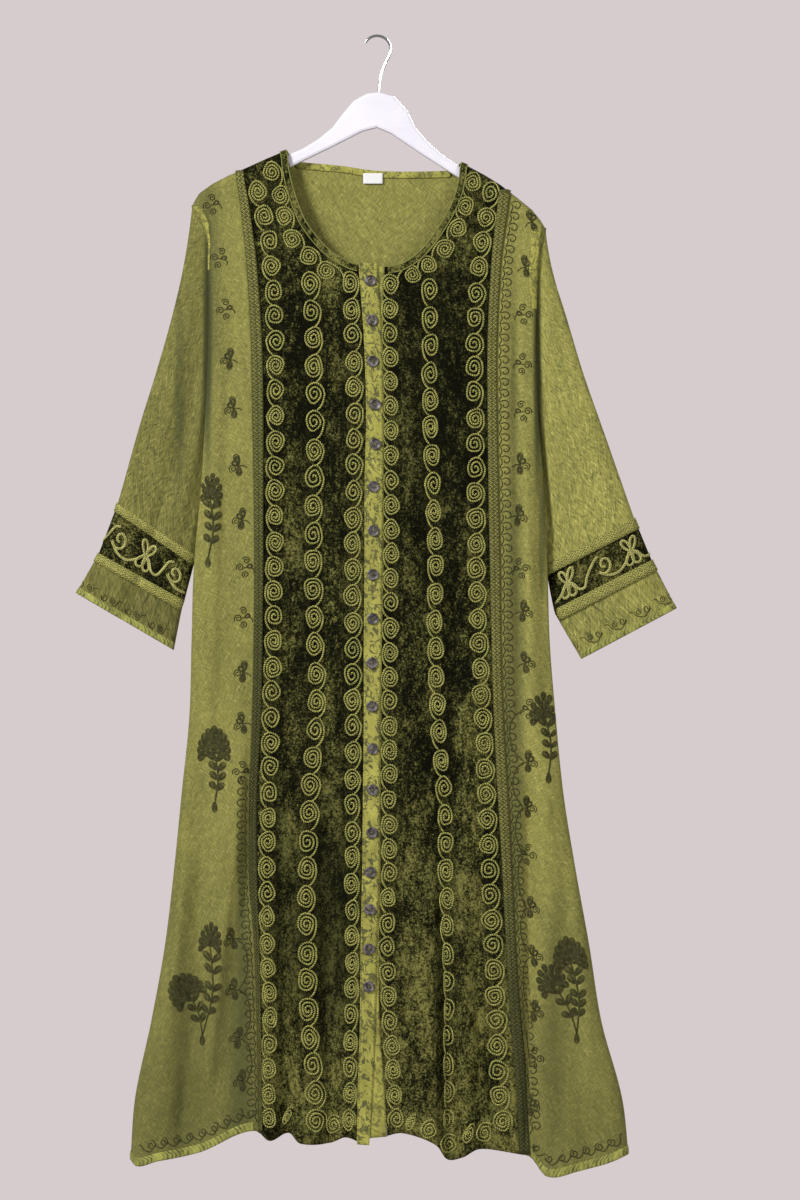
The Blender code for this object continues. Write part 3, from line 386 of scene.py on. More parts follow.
LINES = {LEFT: columns_of(LEFT_LINES), RIGHT: columns_of(RIGHT_LINES)}
FALL = columns_of(FALLS)
SHOULDER = columns_of(SHOULDERS)
HEM = {"front": columns_of(FRONT_HEM)}


def line(side, name, depth):
    """Distance of a named line from the centre, outwards on its own side."""
    table = LINES[side]
    return curve_through(table["depth"], table[name], depth)


def trim_middle(side, depth):
    return (line(side, "trim_in", depth) + line(side, "trim_out", depth)) / 2


def shoulder(x):
    return float(np.interp(x, SHOULDER["x"], SHOULDER["depth"]))


def hem(face, x):
    return curve_through(HEM[face]["x"], HEM[face]["depth"], x)


def over_hanger(drop):
    """0 where the cloth lies over the hanger, 1 where it hangs free."""
    return smooth((drop - 30) / 80)


def stand_off(face, drop):
    """How far the cloth stands off the middle plane at a drop below the shoulder."""
    drop = max(drop, 0.05)
    if drop < SHOULDER_FOLD:
        return math.sqrt(SHOULDER_FOLD ** 2 - (SHOULDER_FOLD - drop) ** 2)
    return curve_through(FALL["drop"], FALL[face], drop)


def fold_rise(folds, x, depth):
    rise = 0.0
    for fold in folds:
        along = (depth - fold.start) / (FOOT - fold.start)
        if along <= 0:
            continue
        middle = fold.top_x + (fold.hem_x - fold.top_x) * along
        rise += fold.rise * smooth(along) * math.exp(-((x - middle) / fold.half) ** 2)
    return rise


def crease_rise(creases, x, depth):
    """The creases' height at a place: each fades in and out along its line."""
    rise = 0.0
    for crease in creases:
        length = crease.end_depth - crease.depth
        along = (depth - crease.depth) / length
        if not 0 < along < 1:
            continue
        away = x - crease.x - (crease.end_x - crease.x) * along
        wide = crease.wide_left if away < 0 else crease.wide_right
        if abs(away) > 3 * wide:
            continue
        fade = smooth(along * length / 90) * smooth((1 - along) * length / 60)
        rise += crease.rise * fade * math.exp(-(away / wide) ** 2)
    return rise


def small_creases(seed, count, x_range, depth_range, lean):
    """Light wrinkles from hanging and wear, scattered by a seeded draw."""
    draw = random.Random(seed)
    made = []
    for _ in range(count):
        x = draw.uniform(*x_range)
        depth = draw.uniform(*depth_range)
        length = draw.uniform(70, 190)
        wide = draw.uniform(4, 8)
        made.append(Crease(x, depth, x + draw.uniform(-lean, lean), depth + length,
                           draw.uniform(-1.1, 1.1), wide, wide))
    return made


FRONT_CREASES += small_creases(3, FINE_CREASES, (-160, 165), (330, 1380), 14)
FRONT_CREASES += small_creases(5, FINE_CREASES, (-300, -165), (300, 1400), 26)
FRONT_CREASES += small_creases(8, FINE_CREASES, (170, 300), (320, 1400), 26)


def front_y(x, depth):
    """The front's outer face, seen as a height over the x and depth plane."""
    side = LEFT if x < 0 else RIGHT
    drop = depth - shoulder(x)
    reach = stand_off("front", drop)
    inside = min(max(line(side, "edge", depth) - side * x, 0.0) / EDGE_ROUND, 1.0)
    turn = 1 - math.sqrt(1 - (1 - inside) ** 2)
    reach *= 1 - EDGE_FLATTEN * turn * over_hanger(drop)
    folds = fold_rise(FRONT_FOLDS, x, depth) + crease_rise(FRONT_CREASES, x, depth)
    return -(SEAM / 2 + reach + folds * (1 - turn))


def front_at(x, depth):
    return Vector((x, front_y(x, depth), -depth))


def velvet_columns(side, depth):
    """The velvet's columns at a depth, outwards from the placket to the trim's middle."""
    inner = line(side, "inner", depth)
    middle = line(side, "middle", depth)
    outer = line(side, "outer", depth)
    trim_in = line(side, "trim_in", depth)
    if side == LEFT:
        start = line(side, "placket", depth) - PLACKET_TUCK
        limit = start + PLACKET_TUCK + 1.5
    else:
        start = line(side, "under", depth) + SEAM
        limit = start + 1.0
    inner_a = max(inner - COIL_ROW_HALF, limit)
    inner_b = inner + COIL_ROW_HALF
    middle_a = middle - COIL_ROW_HALF
    middle_b = middle + COIL_ROW_HALF
    outer_a = outer - COIL_ROW_HALF
    outer_b = min(outer + COIL_ROW_HALF, trim_in - 1.0)
    seam = trim_middle(side, depth) - SEAM / 2
    third = (outer_a - middle_b) / 3
    return [start, inner_a, inner_b, (inner_b + middle_a) / 2, middle_a, middle_b,
            middle_b + third, outer_a - third, outer_a, outer_b, seam]


def read_columns(columns, column):
    low = min(max(int(math.floor(column)), 0), len(columns) - 2)
    return columns[low] + (columns[low + 1] - columns[low]) * (column - low)


def velvet_tops(side):
    """Where the velvet's columns start: x outwards and depth, along neck and shoulder."""
    start = velvet_columns(side, PLACKET_TOP[side])[0]
    depth = NEAR_SHOULDER
    for _ in range(SETTLING):
        seam = velvet_columns(side, depth)[-1]
        depth = shoulder(side * seam)
    along_neck = [Edge(start, PLACKET_TOP[side])] + NECK[side]
    across = [top.x for top in along_neck] + list(SHOULDER_COLUMNS[side]) + [seam]
    return [edge.depth for edge in along_neck], across


def velvet_top(side, column, tops):
    """The top end of any column: a smooth neck curve, then the shoulder seam."""
    neck_depths, across = tops
    if column <= NECK_CORNER:
        keys = list(range(NECK_CORNER + 1))
        x = curve_through(keys, across[:NECK_CORNER + 1], column)
        depths = neck_depths + [shoulder(side * SHOULDER_COLUMNS[side][0])]
        return Edge(x, curve_through(keys, depths, column))
    x = read_columns(across, column)
    return Edge(x, shoulder(side * x))


def velvet_x(side, column, depth, top):
    """How far out a velvet column lies: it leans out from its line near the neck."""
    out = read_columns(velvet_columns(side, depth), column)
    shift = top.x - read_columns(velvet_columns(side, top.depth), column)
    return out + shift * (1 - smooth((depth - top.depth) / (NECK_END - top.depth)))


def even_shares(count):
    return [k / count for k in range(count + 1)]


def rows_down(count, near=14, share=0.011):
    """Shares of a panel's length: close together over the shoulder, then even."""
    close = [share * (k / near) ** 2 for k in range(near)]
    return close + [share + (1 - share) * k / (count - near) for k in range(count - near + 1)]


def bent_sheet(name, at, across, down, outward=VIEWER, probe=(0.5, 0.5), close=False):
    """A sheet of cells bent to at(u, v) in millimetres, faces out, UV map in metres.

    Probe is the share of the cells across and down whose face should look outward.
    """
    bm = bmesh.new()
    cells, bands = len(across) - 1, len(down) - 1
    map_layer = bm.loops.layers.uv.new("UVMap")
    bmesh.ops.create_grid(bm, x_segments=cells, y_segments=bands, size=1.0)
    points = [[at(u, v) for u in across] for v in down]
    grid = np.array([[tuple(point) for point in row] for row in points]) * MM
    wide = np.zeros(grid.shape[:2])
    tall = np.zeros(grid.shape[:2])
    wide[:, 1:] = np.cumsum(np.linalg.norm(np.diff(grid, axis=1), axis=2), axis=1)
    tall[1:, :] = np.cumsum(np.linalg.norm(np.diff(grid, axis=0), axis=2), axis=0)
    bm.verts.ensure_lookup_table()
    for index, vert in enumerate(bm.verts):
        j, i = divmod(index, cells + 1)
        vert.co = to_world(points[j][i])
    for face in bm.faces:
        for loop in face.loops:
            j, i = divmod(loop.vert.index, cells + 1)
            loop[map_layer].uv = (wide[j, i], tall[j, i])
    bm.faces.ensure_lookup_table()
    middle = bm.faces[int(bands * probe[1]) * cells + int(cells * probe[0])]
    middle.normal_update()
    if middle.normal.dot(outward) < 0:
        bmesh.ops.reverse_faces(bm, faces=bm.faces[:])
    if close:
        bmesh.ops.remove_doubles(bm, verts=bm.verts[:], dist=0.000002)
    return new_piece(name, bm)


def new_piece(name, bm):
    piece = new_object(name, bm)
    piece.data.shade_smooth()
    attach(piece, "root")
    return piece


def hang(piece, node, finish, thick=WALL):
    """Hide the node the sheet stands for, if any, and give the sheet its finish and its thickness
    to the inside.
    """
    if node:
        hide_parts(node)
    piece.data.materials.append(finish)
    wall = piece.modifiers.new("thickness", "SOLIDIFY")
    wall.thickness = thick * MM
    wall.offset = -1.0


# A spot where a colour is darkened: its middle, its reach across and down, and how much darker it
# gets. Most are painted shade; broad ones make cloth darker towards the hem or over the right
# chest.
DarkSpot = namedtuple("DarkSpot", "x depth across down deeper")


def painted_shade_and_darkening(paint, colour, spots, dye=(0.04, 0.046, 0.016)):
    """Darken a colour round given places by mixing in the colour given as dye: painted shade at
    most spots, plain darkening towards the hem at broad ones.
    """
    on_object = paint.on_object()
    for spot in spots:
        middle = tuple(to_world(Vector((spot.x, 0, -spot.depth))))
        beyond = paint.node("VectorMath", {0: on_object, 1: middle}, operation="SUBTRACT")
        near = paint.stretched(beyond.outputs["Vector"], (
            1 / (spot.across * MM), 0.0, 1 / (spot.down * MM)))
        away = paint.node("VectorMath", {0: near}, operation="LENGTH").outputs["Value"]
        share = paint.ranged(away, (0.3, 1.0), (spot.deeper, 0.0), interpolation_type="SMOOTHSTEP")
        colour = paint.mixed(share, colour, dye)
    return colour


def crushed_velvet(name, shift=0.0, spots=()):
    """Crushed pile. A higher shift presses more of it flat, which reads as olive."""
    paint = Paint(name, 0.75, Sheen_Weight=0.05, Sheen_Roughness=0.35,
                  Sheen_Tint=(0.5, 0.5, 0.14, 1), Specular_IOR_Level=0.04)
    broad = paint.noise((26, 26, 12))
    patches = paint.noise((128, 128, 78), 6.0, 0.82)
    flecks = paint.noise(360.0, 3.0, 0.85)
    lower = paint.ranged(paint.parts()["Z"], (-0.5, -1.42), (-0.022, 0.03))
    pressed = paint.maths("MULTIPLY_ADD", flecks, 0.52, shift)
    pressed = paint.maths("MULTIPLY_ADD", patches, 0.48, pressed)
    pressed = paint.maths("ADD", paint.swayed(pressed, broad, 0.3), lower)
    ground = paint.shades(
        pressed, (0.45, (0.003, 0.003, 0.0009)), (0.498, (0.0125, 0.0123, 0.0032)),
        (0.545, (0.062, 0.06, 0.016)), (0.62, (0.2, 0.192, 0.052)))
    return paint.done(painted_shade_and_darkening(paint, ground, spots, (0.004, 0.004, 0.0012)), patches, 0.3, 1.0)


def velvet_front(side):
    """One velvet panel: its top follows the neck and the shoulder, its foot the hem."""
    tops = velvet_tops(side)
    last = len(velvet_columns(side, FOOT)) - 1
    ends = {}
    for share in VELVET_ACROSS:
        column = share * last
        top = velvet_top(side, column, tops)
        ends[share] = (column, top, hem("front", side * velvet_x(side, column, FOOT, top)))

    def at(share, down):
        column, top, foot = ends[share]
        depth = top.depth + (foot - top.depth) * down
        return front_at(side * velvet_x(side, column, depth, top), depth)

    return bent_sheet(f"velvet_{WORDS[side]}", at, VELVET_ACROSS, PANEL_DOWN)


VELVET_ACROSS = even_shares(70)
PANEL_DOWN = rows_down(250)
# Painted shade darkens the pile round each row of coils and in the deep valley low on the left
# front; a broad spot makes the right chest darker
VELVET_SHADE_AND_DARKER_CHEST = {
    LEFT: rows(DarkSpot, (-135, 700, 21, 1100, 0.6), (-85, 700, 21, 1100, 0.6),
        (-32, 700, 21, 1100, 0.6), (-70, 1170, 90, 240, 0.65)),
    RIGHT: rows(DarkSpot, (18, 700, 21, 1100, 0.6), (72, 480, 21, 500, 0.6),
        (92, 1150, 21, 420, 0.5), (136, 480, 21, 500, 0.6), (156, 1150, 21, 420, 0.5),
        (75, 440, 95, 330, 0.3)),
}
for side, word in WORDS.items():
    finish = crushed_velvet(f"crushed_velvet_{word}", 0.013, VELVET_SHADE_AND_DARKER_CHEST[side])
    hang(velvet_front(side), f"velvet_front_{word}", finish)


# The side fronts: plain woven panels from shoulder to hem, overdyed so the crinkles stay dark.
# Each is sewn to the velvet under the trim and flares to the hem, and its outer edge rolls
# back to the armhole and the side seam.
SHOULDER_POINT = {LEFT: Edge(242, 224), RIGHT: Edge(223, 254)}
SEAM_HEM = {LEFT: 1478.0, RIGHT: 1472.0}
UNDERARM_SHARE = 0.205
WOVEN_FLAT = 0.84
# The armhole and side seam: share of the way from shoulder to underarm, how far the seam
# is tucked inside the front edge, and where its front and back sides lie
Tuck = namedtuple("Tuck", "share tuck front back")
TUCKS = rows(Tuck, (0.0, -6, -0.2, 0.2), (0.02, -5.5, -4.8, 4.8), (0.06, -4, -7, 7),
    (0.14, -2, -7.5, 8), (0.3, 5, -5, 7), (0.5, 6.5, -3, 6.5), (0.85, 6.5, -3, 4.5),
    (1.0, 6.5, -0.6, -0.2), (1.66, 6.5, -0.8, -0.4), (2.25, 2.5, -2, -1.6), (6.0, 2.5, -2, -1.6))
TUCK = columns_of(TUCKS)


def seam_share(side, depth):
    """Share of the way from the shoulder point to the underarm."""
    top = SHOULDER_POINT[side].depth
    return (depth - top) / (UNDERARM_SHARE * (SEAM_HEM[side] - top))


def tucked(side, name, depth):
    return float(np.interp(seam_share(side, depth), TUCK["share"], TUCK[name]))


def side_seam(side, depth):
    """Distance of the armhole or side seam from the centre."""
    return line(side, "edge", depth) - tucked(side, "tuck", depth)


def side_at(side, share, depth):
    """A side front's point: out to the body's edge, then back to the seam at its side."""
    inner = trim_middle(side, depth) + SEAM / 2
    edge = line(side, "edge", depth)
    if share <= WOVEN_FLAT:
        out = edge - (edge - inner) * (1 - share / WOVEN_FLAT) ** 1.6
        return front_at(side * out, depth)
    back = (share - WOVEN_FLAT) / (1 - WOVEN_FLAT)
    out = edge - tucked(side, "tuck", depth) * back ** 2
    level = depth - shoulder(side * out) + shoulder(side * edge)
    edge_y = front_y(side * edge, level)
    y = edge_y + (tucked(side, "front", depth) - edge_y) * back
    return Vector((side * out, y, -depth))


# Painted shadow where each sleeve goes in behind the body's edge at the armhole.
SEAM_SHADOW = rows(DarkSpot, (-222, 400, 9, 240, 0.85), (213, 450, 8, 220, 0.85),
    (219, 660, 7, 120, 0.6))
# The side fronts add painted shade at the top of the left one, in the folds of the lower panels and
# in the valleys beside the trims, and a broad spot that makes them darker towards the hem.
SIDE_SHADE_AND_DARKER_HEM = SEAM_SHADOW + rows(DarkSpot, (-226, 330, 34, 230, 0.5), (-178, 1330, 24, 280, 0.45),
    (-174, 1160, 12, 240, 0.35), (181, 900, 20, 540, 0.55), (178, 420, 14, 240, 0.3),
    (-250, 1360, 30, 200, 0.2), (236, 1310, 24, 260, 0.3), (0, 1640, 900, 700, 0.42))


def woven_green(name, light=1.0, crinkle=1.0, streaks=32, fine=1.0, veins=0.25, spots=()):
    """Plain weave, overdyed: crinkles hold the dark dye, and the ground is yellow-green."""
    # Light scales every colour. For the side fronts, the sleeves and the cuffs it is painted light:
    # darker on the left and lighter on the right.
    def lit(*colour):
        return tuple(part * light for part in colour)

    paint = Paint(name, 0.8, True, Sheen_Weight=0.06, Sheen_Roughness=0.5, Specular_IOR_Level=0.15)
    cloudy = paint.noise((14, 8, 1), 4.0, 0.6, 0.4)
    one_way = paint.noise((760 * fine, 70 * fine, 1), 4.0, 0.7, 0.3, streaks)
    other_way = paint.noise((640 * fine, 90 * fine, 1), 4.0, 0.7, 0.3, -streaks - 14)
    crossed = paint.maths("MULTIPLY", paint.maths("ADD", one_way, other_way), 0.5)
    tone = paint.swayed(paint.maths("MULTIPLY_ADD", cloudy, 0.4, 0.3), crossed, 2.1 * crinkle)
    ground = paint.shades(tone, (0.1, lit(0.06, 0.066, 0.023)), (0.36, lit(0.172, 0.168, 0.043)),
                          (0.58, lit(0.272, 0.256, 0.064)), (0.9, lit(0.47, 0.44, 0.12)))
    worn = paint.shades(paint.maths("MAXIMUM", one_way, other_way), (0.6, 0.0), (0.72, 0.75))
    ground = paint.mixed(worn, ground, lit(0.52, 0.49, 0.16))
    ridge = paint.away(paint.noise((75, 30, 1), 4.0, 0.6, 1.0, streaks * 0.5))
    vein = paint.maths("MULTIPLY", paint.shades(ridge, (0.0, 1.0), (0.022, 0.0)),
                       paint.shades(one_way, (0.42, veins), (0.6, 0.0)))
    ground = paint.mixed(vein, ground, lit(0.05, 0.056, 0.022))
    return paint.done(painted_shade_and_darkening(paint, ground, spots), crossed, 0.5, 0.9 * crinkle)


def side_front(side):
    """One side front, from the shoulder seam and the armhole down to the hem."""
    def at(share, down):
        top, foot = ends[share]
        return side_at(side, share, top + (foot - top) * down)

    ends = {}
    for share in WOVEN_ACROSS:
        depth = NEAR_SHOULDER
        for _ in range(SETTLING):
            depth = shoulder(side_at(side, share, depth).x)
        ends[share] = (depth, hem("front", side_at(side, share, FOOT).x))
    ends[1.0] = (float(SHOULDER_POINT[side].depth), SEAM_HEM[side])
    return bent_sheet(f"side_panel_{WORDS[side]}", at, WOVEN_ACROSS, PANEL_DOWN, probe=(0.3, 0.5))


WOVEN_ACROSS = even_shares(50)
# Painted light: the left side front's colour is made darker and the right one's lighter.
SIDE_PAINTED_LIGHT = {LEFT: 0.93, RIGHT: 1.12}
for side, word in WORDS.items():
    finish = woven_green(f"woven_green_{word}", SIDE_PAINTED_LIGHT[side], 0.8, spots=SIDE_SHADE_AND_DARKER_HEM)
    hang(side_front(side), f"side_front_{word}", finish)


# The back: one woven panel from side seam to side seam, with a shallow neck. Its inner face
# shows behind the open neck. It hangs in its own soft folds.
BACK_HEM = rows(Edge, (-323, 1478), (-250, 1466), (-150, 1442), (0, 1438), (150, 1450),
    (250, 1484), (333, 1472))
BACK_NECK = rows(Edge, (-117, 152), (-111, 162), (-100, 166), (-48, 171), (5, 178), (90, 178),
    (104, 175), (111, 167))
BACK_FOLDS = rows(Fold, (-150, -230, 500, 7, 24), (-95, -140, 650, -7, 20), (-30, -55, 560, 6, 24),
    (35, 40, 700, -7, 20), (85, 130, 600, 7, 24), (140, 215, 700, -6, 22))
BACK_ROUND = 26.0
BACK_CREASES = rows(Crease, (-160, 420, -205, 1180, 3, 16, 9), (-110, 520, -128, 1300, -3, 10, 14),
    (-20, 380, -34, 1120, 2.5, 14, 10), (48, 470, 60, 1400, -3, 12, 9),
    (100, 420, 142, 1240, 3, 11, 16), (170, 540, 232, 1380, -2.5, 12, 12),
    (-60, 900, -74, 1440, 3, 9, 14), (10, 950, 14, 1440, -3, 10, 10))
# A broad spot that makes the back darker towards the hem.
BACK_DARKER_HEM = [DarkSpot(0, 1640, 900, 700, 0.4)]
BACK_CREASES += small_creases(12, 60, (-210, 210), (230, 1400), 22)
HEM["back"] = columns_of(BACK_HEM)
BACK_TOP = columns_of(BACK_NECK)


def back_y(x, depth):
    """The back's outer face, which rolls in to the seams at its sides."""
    left = -side_seam(LEFT, depth)
    right = side_seam(RIGHT, depth)
    side = LEFT if x < (left + right) / 2 else RIGHT
    drop = depth - shoulder(x)
    corner = BACK_ROUND * (0.3 + 0.7 * over_hanger(drop))
    inside = min(max(x - left if side == LEFT else right - x, 0.0) / corner, 1.0)
    turn = math.sqrt(1 - (1 - inside) ** 2)
    start = tucked(side, "back", depth)
    reach = SEAM / 2 + stand_off("back", drop) + fold_rise(BACK_FOLDS, x, depth)
    reach += crease_rise(BACK_CREASES, x, depth)
    return start + (reach - start) * turn


def back_spot(x, depth):
    return Vector((x, back_y(x, depth), -depth))


def back_at(share, depth):
    left = -side_seam(LEFT, depth)
    right = side_seam(RIGHT, depth)
    return back_spot(left + (right - left) * share, depth)


BACK_ACROSS = [0.5 - 0.5 * math.cos(math.pi * k / 110) for k in range(111)]
back_ends = {}
for share in BACK_ACROSS:
    x = back_at(share, 160.0).x
    foot = hem("back", back_at(share, FOOT).x)
    if BACK_TOP["x"][0] < x < BACK_TOP["x"][-1]:
        back_ends[share] = (curve_through(BACK_TOP["x"], BACK_TOP["depth"], x), foot)
    else:
        back_ends[share] = (shoulder(x), foot)
back_ends[BACK_ACROSS[0]] = (float(SHOULDER_POINT[LEFT].depth), SEAM_HEM[LEFT])
back_ends[BACK_ACROSS[-1]] = (float(SHOULDER_POINT[RIGHT].depth), SEAM_HEM[RIGHT])


def back_panel_at(share, down):
    top, foot = back_ends[share]
    return back_at(share, top + (foot - top) * down)


hang(bent_sheet("back_panel", back_panel_at, BACK_ACROSS, PANEL_DOWN, -VIEWER), "back",
     woven_green("woven_green_back", 1.0, 0.9, veins=0.4, spots=BACK_DARKER_HEM))


# The back neck's binding, a folded bright green strip stitched along the edge on the inside,
# and the bare white label sewn under its middle.
BINDING_ENDS = (-106, 99)
BINDING_TALL = 8.6
BINDING_OUT = 1.1
LABEL_SIDES = (-17, 9)
LABEL_ENDS = (181, 195)
LABEL_THICK = 0.5
LABEL_OUT = 2.6


def facing_of(at, across, down, steps, outward):
    """A surface's own direction, on its outward side."""
    beside = at(across + steps[0], down) - at(across - steps[0], down)
    below = at(across, down + steps[1]) - at(across, down - steps[1])
    facing = beside.cross(below).normalized()
    return -facing if facing.dot(outward) < 0 else facing


def inside_back(x, depth, out):
    """A place on the back's inner face, some way towards the viewer."""
    return back_spot(x, depth) + facing_of(back_spot, x, depth, (1, 1), VIEWER) * (WALL + out)


def bright_green(name, marks=1.0):
    """The lightest cloth: yellow-green, with short dark crinkle marks left by the dye."""
    paint = Paint(name, 0.75, True, Sheen_Weight=0.1, Specular_IOR_Level=0.25)
    ridge = paint.away(paint.noise((95, 62, 1), 2.0, 0.5, 1.2, 28))
    mark = paint.swayed(ridge, paint.noise((120, 90, 1)), 0.3)
    marked = paint.shades(mark, (0.0, 1.0), (0.026, 0.85), (0.055, 0.0))
    ground = paint.shades(paint.noise((40, 30, 1)), (0.3, (0.24, 0.23, 0.043)),
                          (0.7, (0.44, 0.415, 0.085)))
    weave = paint.noise((1400, 1400, 1), 2.0)
    share = paint.maths("MULTIPLY", marked, 0.85 * marks)
    return paint.done(paint.mixed(share, ground, (0.058, 0.058, 0.024)),
                      paint.maths("MULTIPLY_ADD", weave, 0.3, ridge), 0.4, 0.9)


def binding_at(share, down):
    x = BINDING_ENDS[0] + (BINDING_ENDS[1] - BINDING_ENDS[0]) * share
    top = curve_through(BACK_TOP["x"], BACK_TOP["depth"], x)
    round_edge = math.sin(math.pi * down) * 0.5
    return inside_back(x, top + 0.3 + BINDING_TALL * down, 0.3 + BINDING_OUT + round_edge)


def label_at(share, down):
    x = LABEL_SIDES[0] + (LABEL_SIDES[1] - LABEL_SIDES[0]) * share
    depth = LABEL_ENDS[0] + (LABEL_ENDS[1] - LABEL_ENDS[0]) * down
    return inside_back(x, depth, LABEL_OUT + 0.5 * math.sin(math.pi * share) * down)


def label_cloth():
    """Plain white tape with a fine weave."""
    paint = Paint("label_cloth", 0.8, True)
    weave = paint.noise((1800, 1100, 1), 2.0)
    white = paint.shades(weave, (0.3, (0.68, 0.67, 0.66)), (0.7, (0.84, 0.83, 0.82)))
    return paint.done(white, weave, 0.3, 0.2)


hang(bent_sheet("neck_binding", binding_at, even_shares(90), even_shares(8)), "back_neck_binding",
     bright_green("bright_green_binding", 0.8),
     BINDING_OUT)
hang(bent_sheet("bare_label", label_at, even_shares(12), even_shares(8)), "neck_label",
     label_cloth(), LABEL_THICK)


# The sleeves: straight woven sleeves set into dropped armholes, a velvet band above the cuff
# and a woven cuff, all lying nearly flat with a fold along the top and along the underside.
UPPER_TRIM = (6, 6.5, 7)
LOWER_TRIM = (8, 8.5, 9)
CUFF_END = 10
SLEEVE_ROUND = 3.0
SLEEVE_GAP = 0.35
TIP_DROP = 1.2
# Sleeve stations from armhole to cuff: outer fold, inner fold, half depth, middle plane
Station = namedtuple("Station", "out_x out_depth in_x in_depth half middle")
SLEEVE_STATIONS = {
    LEFT: rows(Station, (242, 225, 215, 481, 8, 0), (251, 290, 220, 508, 9, 3),
        (269, 369, 222, 544, 11, 5), (290, 443, 225, 584, 12, 5), (312, 514, 229, 624, 12, 5),
        (333, 589, 233, 663, 12, 5), (341, 617, 237, 687, 13, 5), (345, 628, 241, 700, 13, 5),
        (366, 683, 253, 746, 13, 5), (372, 694, 257, 760, 13, 5), (396, 736, 267, 811, 14, 5)),
    RIGHT: rows(Station, (223, 255, 208, 504, 8, 0), (231, 305, 211.5, 530, 9, 1.5),
        (252, 373, 214, 561, 11, 5), (273, 443, 216.5, 595, 12, 5), (296, 509, 218.5, 634, 12, 5),
        (322, 583, 221.5, 676, 12, 5), (341, 637, 224, 700, 13, 5), (347, 651, 226, 713, 13, 5),
        (364, 692, 235, 758, 13, 5), (371, 706, 242, 773, 13, 5), (397, 756, 271, 823, 14, 5)),
}
# Each sleeve's long crease: its place across and its depth
SLEEVE_CREASE = {LEFT: (0.5, 6.5), RIGHT: (0.4, 2.0)}
CREASE_WIDE = 0.09
# Past this turn the sleeve's direction is read across its fold
FOLD_TURN = 0.985
BESIDE_FOLD = 0.97
# Creases of a sleeve's front and back: place across (0 is the upper fold) and station where
# each starts and ends, its height and its width across
Wrinkle = namedtuple("Wrinkle", "across station end_across end_station rise wide")
SLEEVE_WRINKLES = {
    LEFT: rows(Wrinkle, (0.62, 0.6, 0.5, 5.8, -2.2, 0.07), (0.3, 0.8, 0.28, 4.2, 1.8, 0.08),
        (0.8, 1.2, 0.72, 5.6, 2.4, 0.07), (0.15, 2.6, 0.34, 6.2, -1.4, 0.05),
        (0.92, 2.4, 0.8, 6.0, -1.6, 0.05), (0.56, 3.6, 0.62, 9.6, 2.6, 0.06),
        (0.2, 8.2, 0.3, 10, -1.2, 0.06)),
    RIGHT: rows(Wrinkle, (0.7, 0.5, 0.55, 5.2, -2, 0.07), (0.3, 0.7, 0.36, 4.6, 1.6, 0.08),
        (0.5, 2.0, 0.3, 6.2, -1.4, 0.05), (0.85, 1.2, 0.8, 5.6, 2, 0.07),
        (0.14, 3.4, 0.2, 6.4, 1.2, 0.05), (0.6, 6.6, 0.66, 10, -1.6, 0.06),
        (0.3, 7.6, 0.26, 10, 1.4, 0.06), (0.9, 0.1, 0.93, 5.6, -4.5, 0.07)),
}


def wrinkle_rise(wrinkles, across, station):
    rise = 0.0
    for wrinkle in wrinkles:
        length = wrinkle.end_station - wrinkle.station
        along = (station - wrinkle.station) / length
        if 0 < along < 1:
            away = across - wrinkle.across - (wrinkle.end_across - wrinkle.across) * along
            fade = smooth(along * 4) * smooth((1 - along) * 5)
            rise += wrinkle.rise * fade * math.exp(-(away / wrinkle.wide) ** 2)
    return rise


STATIONS = {side: columns_of(SLEEVE_STATIONS[side]) for side in SIDES}


def sleeve_side_at(side, turn, station):
    """A point of the sleeve: turn runs from -1, the inner fold, by the front to 1."""
    keys = list(range(len(SLEEVE_STATIONS[side])))
    out_x, out_depth, in_x, in_depth, half, middle = [
        curve_through(keys, values, station) for values in STATIONS[side].values()]
    across = min(abs(turn), 1.0)
    sign = -1 if turn < 0 else 1
    x = out_x + (in_x - out_x) * across
    depth = out_depth + (in_depth - out_depth) * across
    bulge = max(1 - abs(2 * across - 1) ** SLEEVE_ROUND, 0.0) ** (1 / SLEEVE_ROUND)
    where, deep = SLEEVE_CREASE[side]
    dent = deep * math.exp(-((across - where) / CREASE_WIDE) ** 2) * smooth((station - 3) / 4)
    wrinkled = wrinkle_rise(SLEEVE_WRINKLES[side], across, station) * bulge
    y = middle + sign * (half * bulge + 0.2 + wrinkled) + (dent if sign < 0 else 0.0)
    start = smooth(station / 1.5)
    if start < 1:
        top = SHOULDER_POINT[side].depth
        seam_depth = top + UNDERARM_SHARE * (SEAM_HEM[side] - top) * across
        seam_x = side_seam(side, seam_depth) + SLEEVE_GAP
        seam_y = tucked(side, "front" if sign < 0 else "back", seam_depth)
        x = seam_x + (x - seam_x) * start
        y = seam_y + (y - seam_y) * start
        seam_depth += TIP_DROP * (1 - smooth(across / 0.1))
        depth = seam_depth + (depth - seam_depth) * start
    return Vector((side * x, y, -depth))


def sleeve_at(side, turn, station):
    """The same point, with the front and back halves brought together at the folds."""
    if abs(turn) >= 1:
        return (sleeve_side_at(side, -1, station) + sleeve_side_at(side, 1, station)) / 2
    if turn == 0:
        return (sleeve_side_at(side, -1e-9, station) + sleeve_side_at(side, 0, station)) / 2
    return sleeve_side_at(side, turn, station)


def sleeve_facing(side, turn, station):
    """The sleeve's outward direction, read round the fold at either end."""
    station = min(max(station, 0.03), CUFF_END - 0.01)
    if abs(turn) > FOLD_TURN:
        across = (sleeve_side_at(side, BESIDE_FOLD, station)
                  - sleeve_side_at(side, -BESIDE_FOLD, station))
    else:
        across = sleeve_side_at(side, turn + 0.008, station) - sleeve_side_at(
            side, turn - 0.008, station)
    down = sleeve_at(side, turn, station + 0.01) - sleeve_at(side, turn, station - 0.01)
    return across.cross(down).normalized() * -side


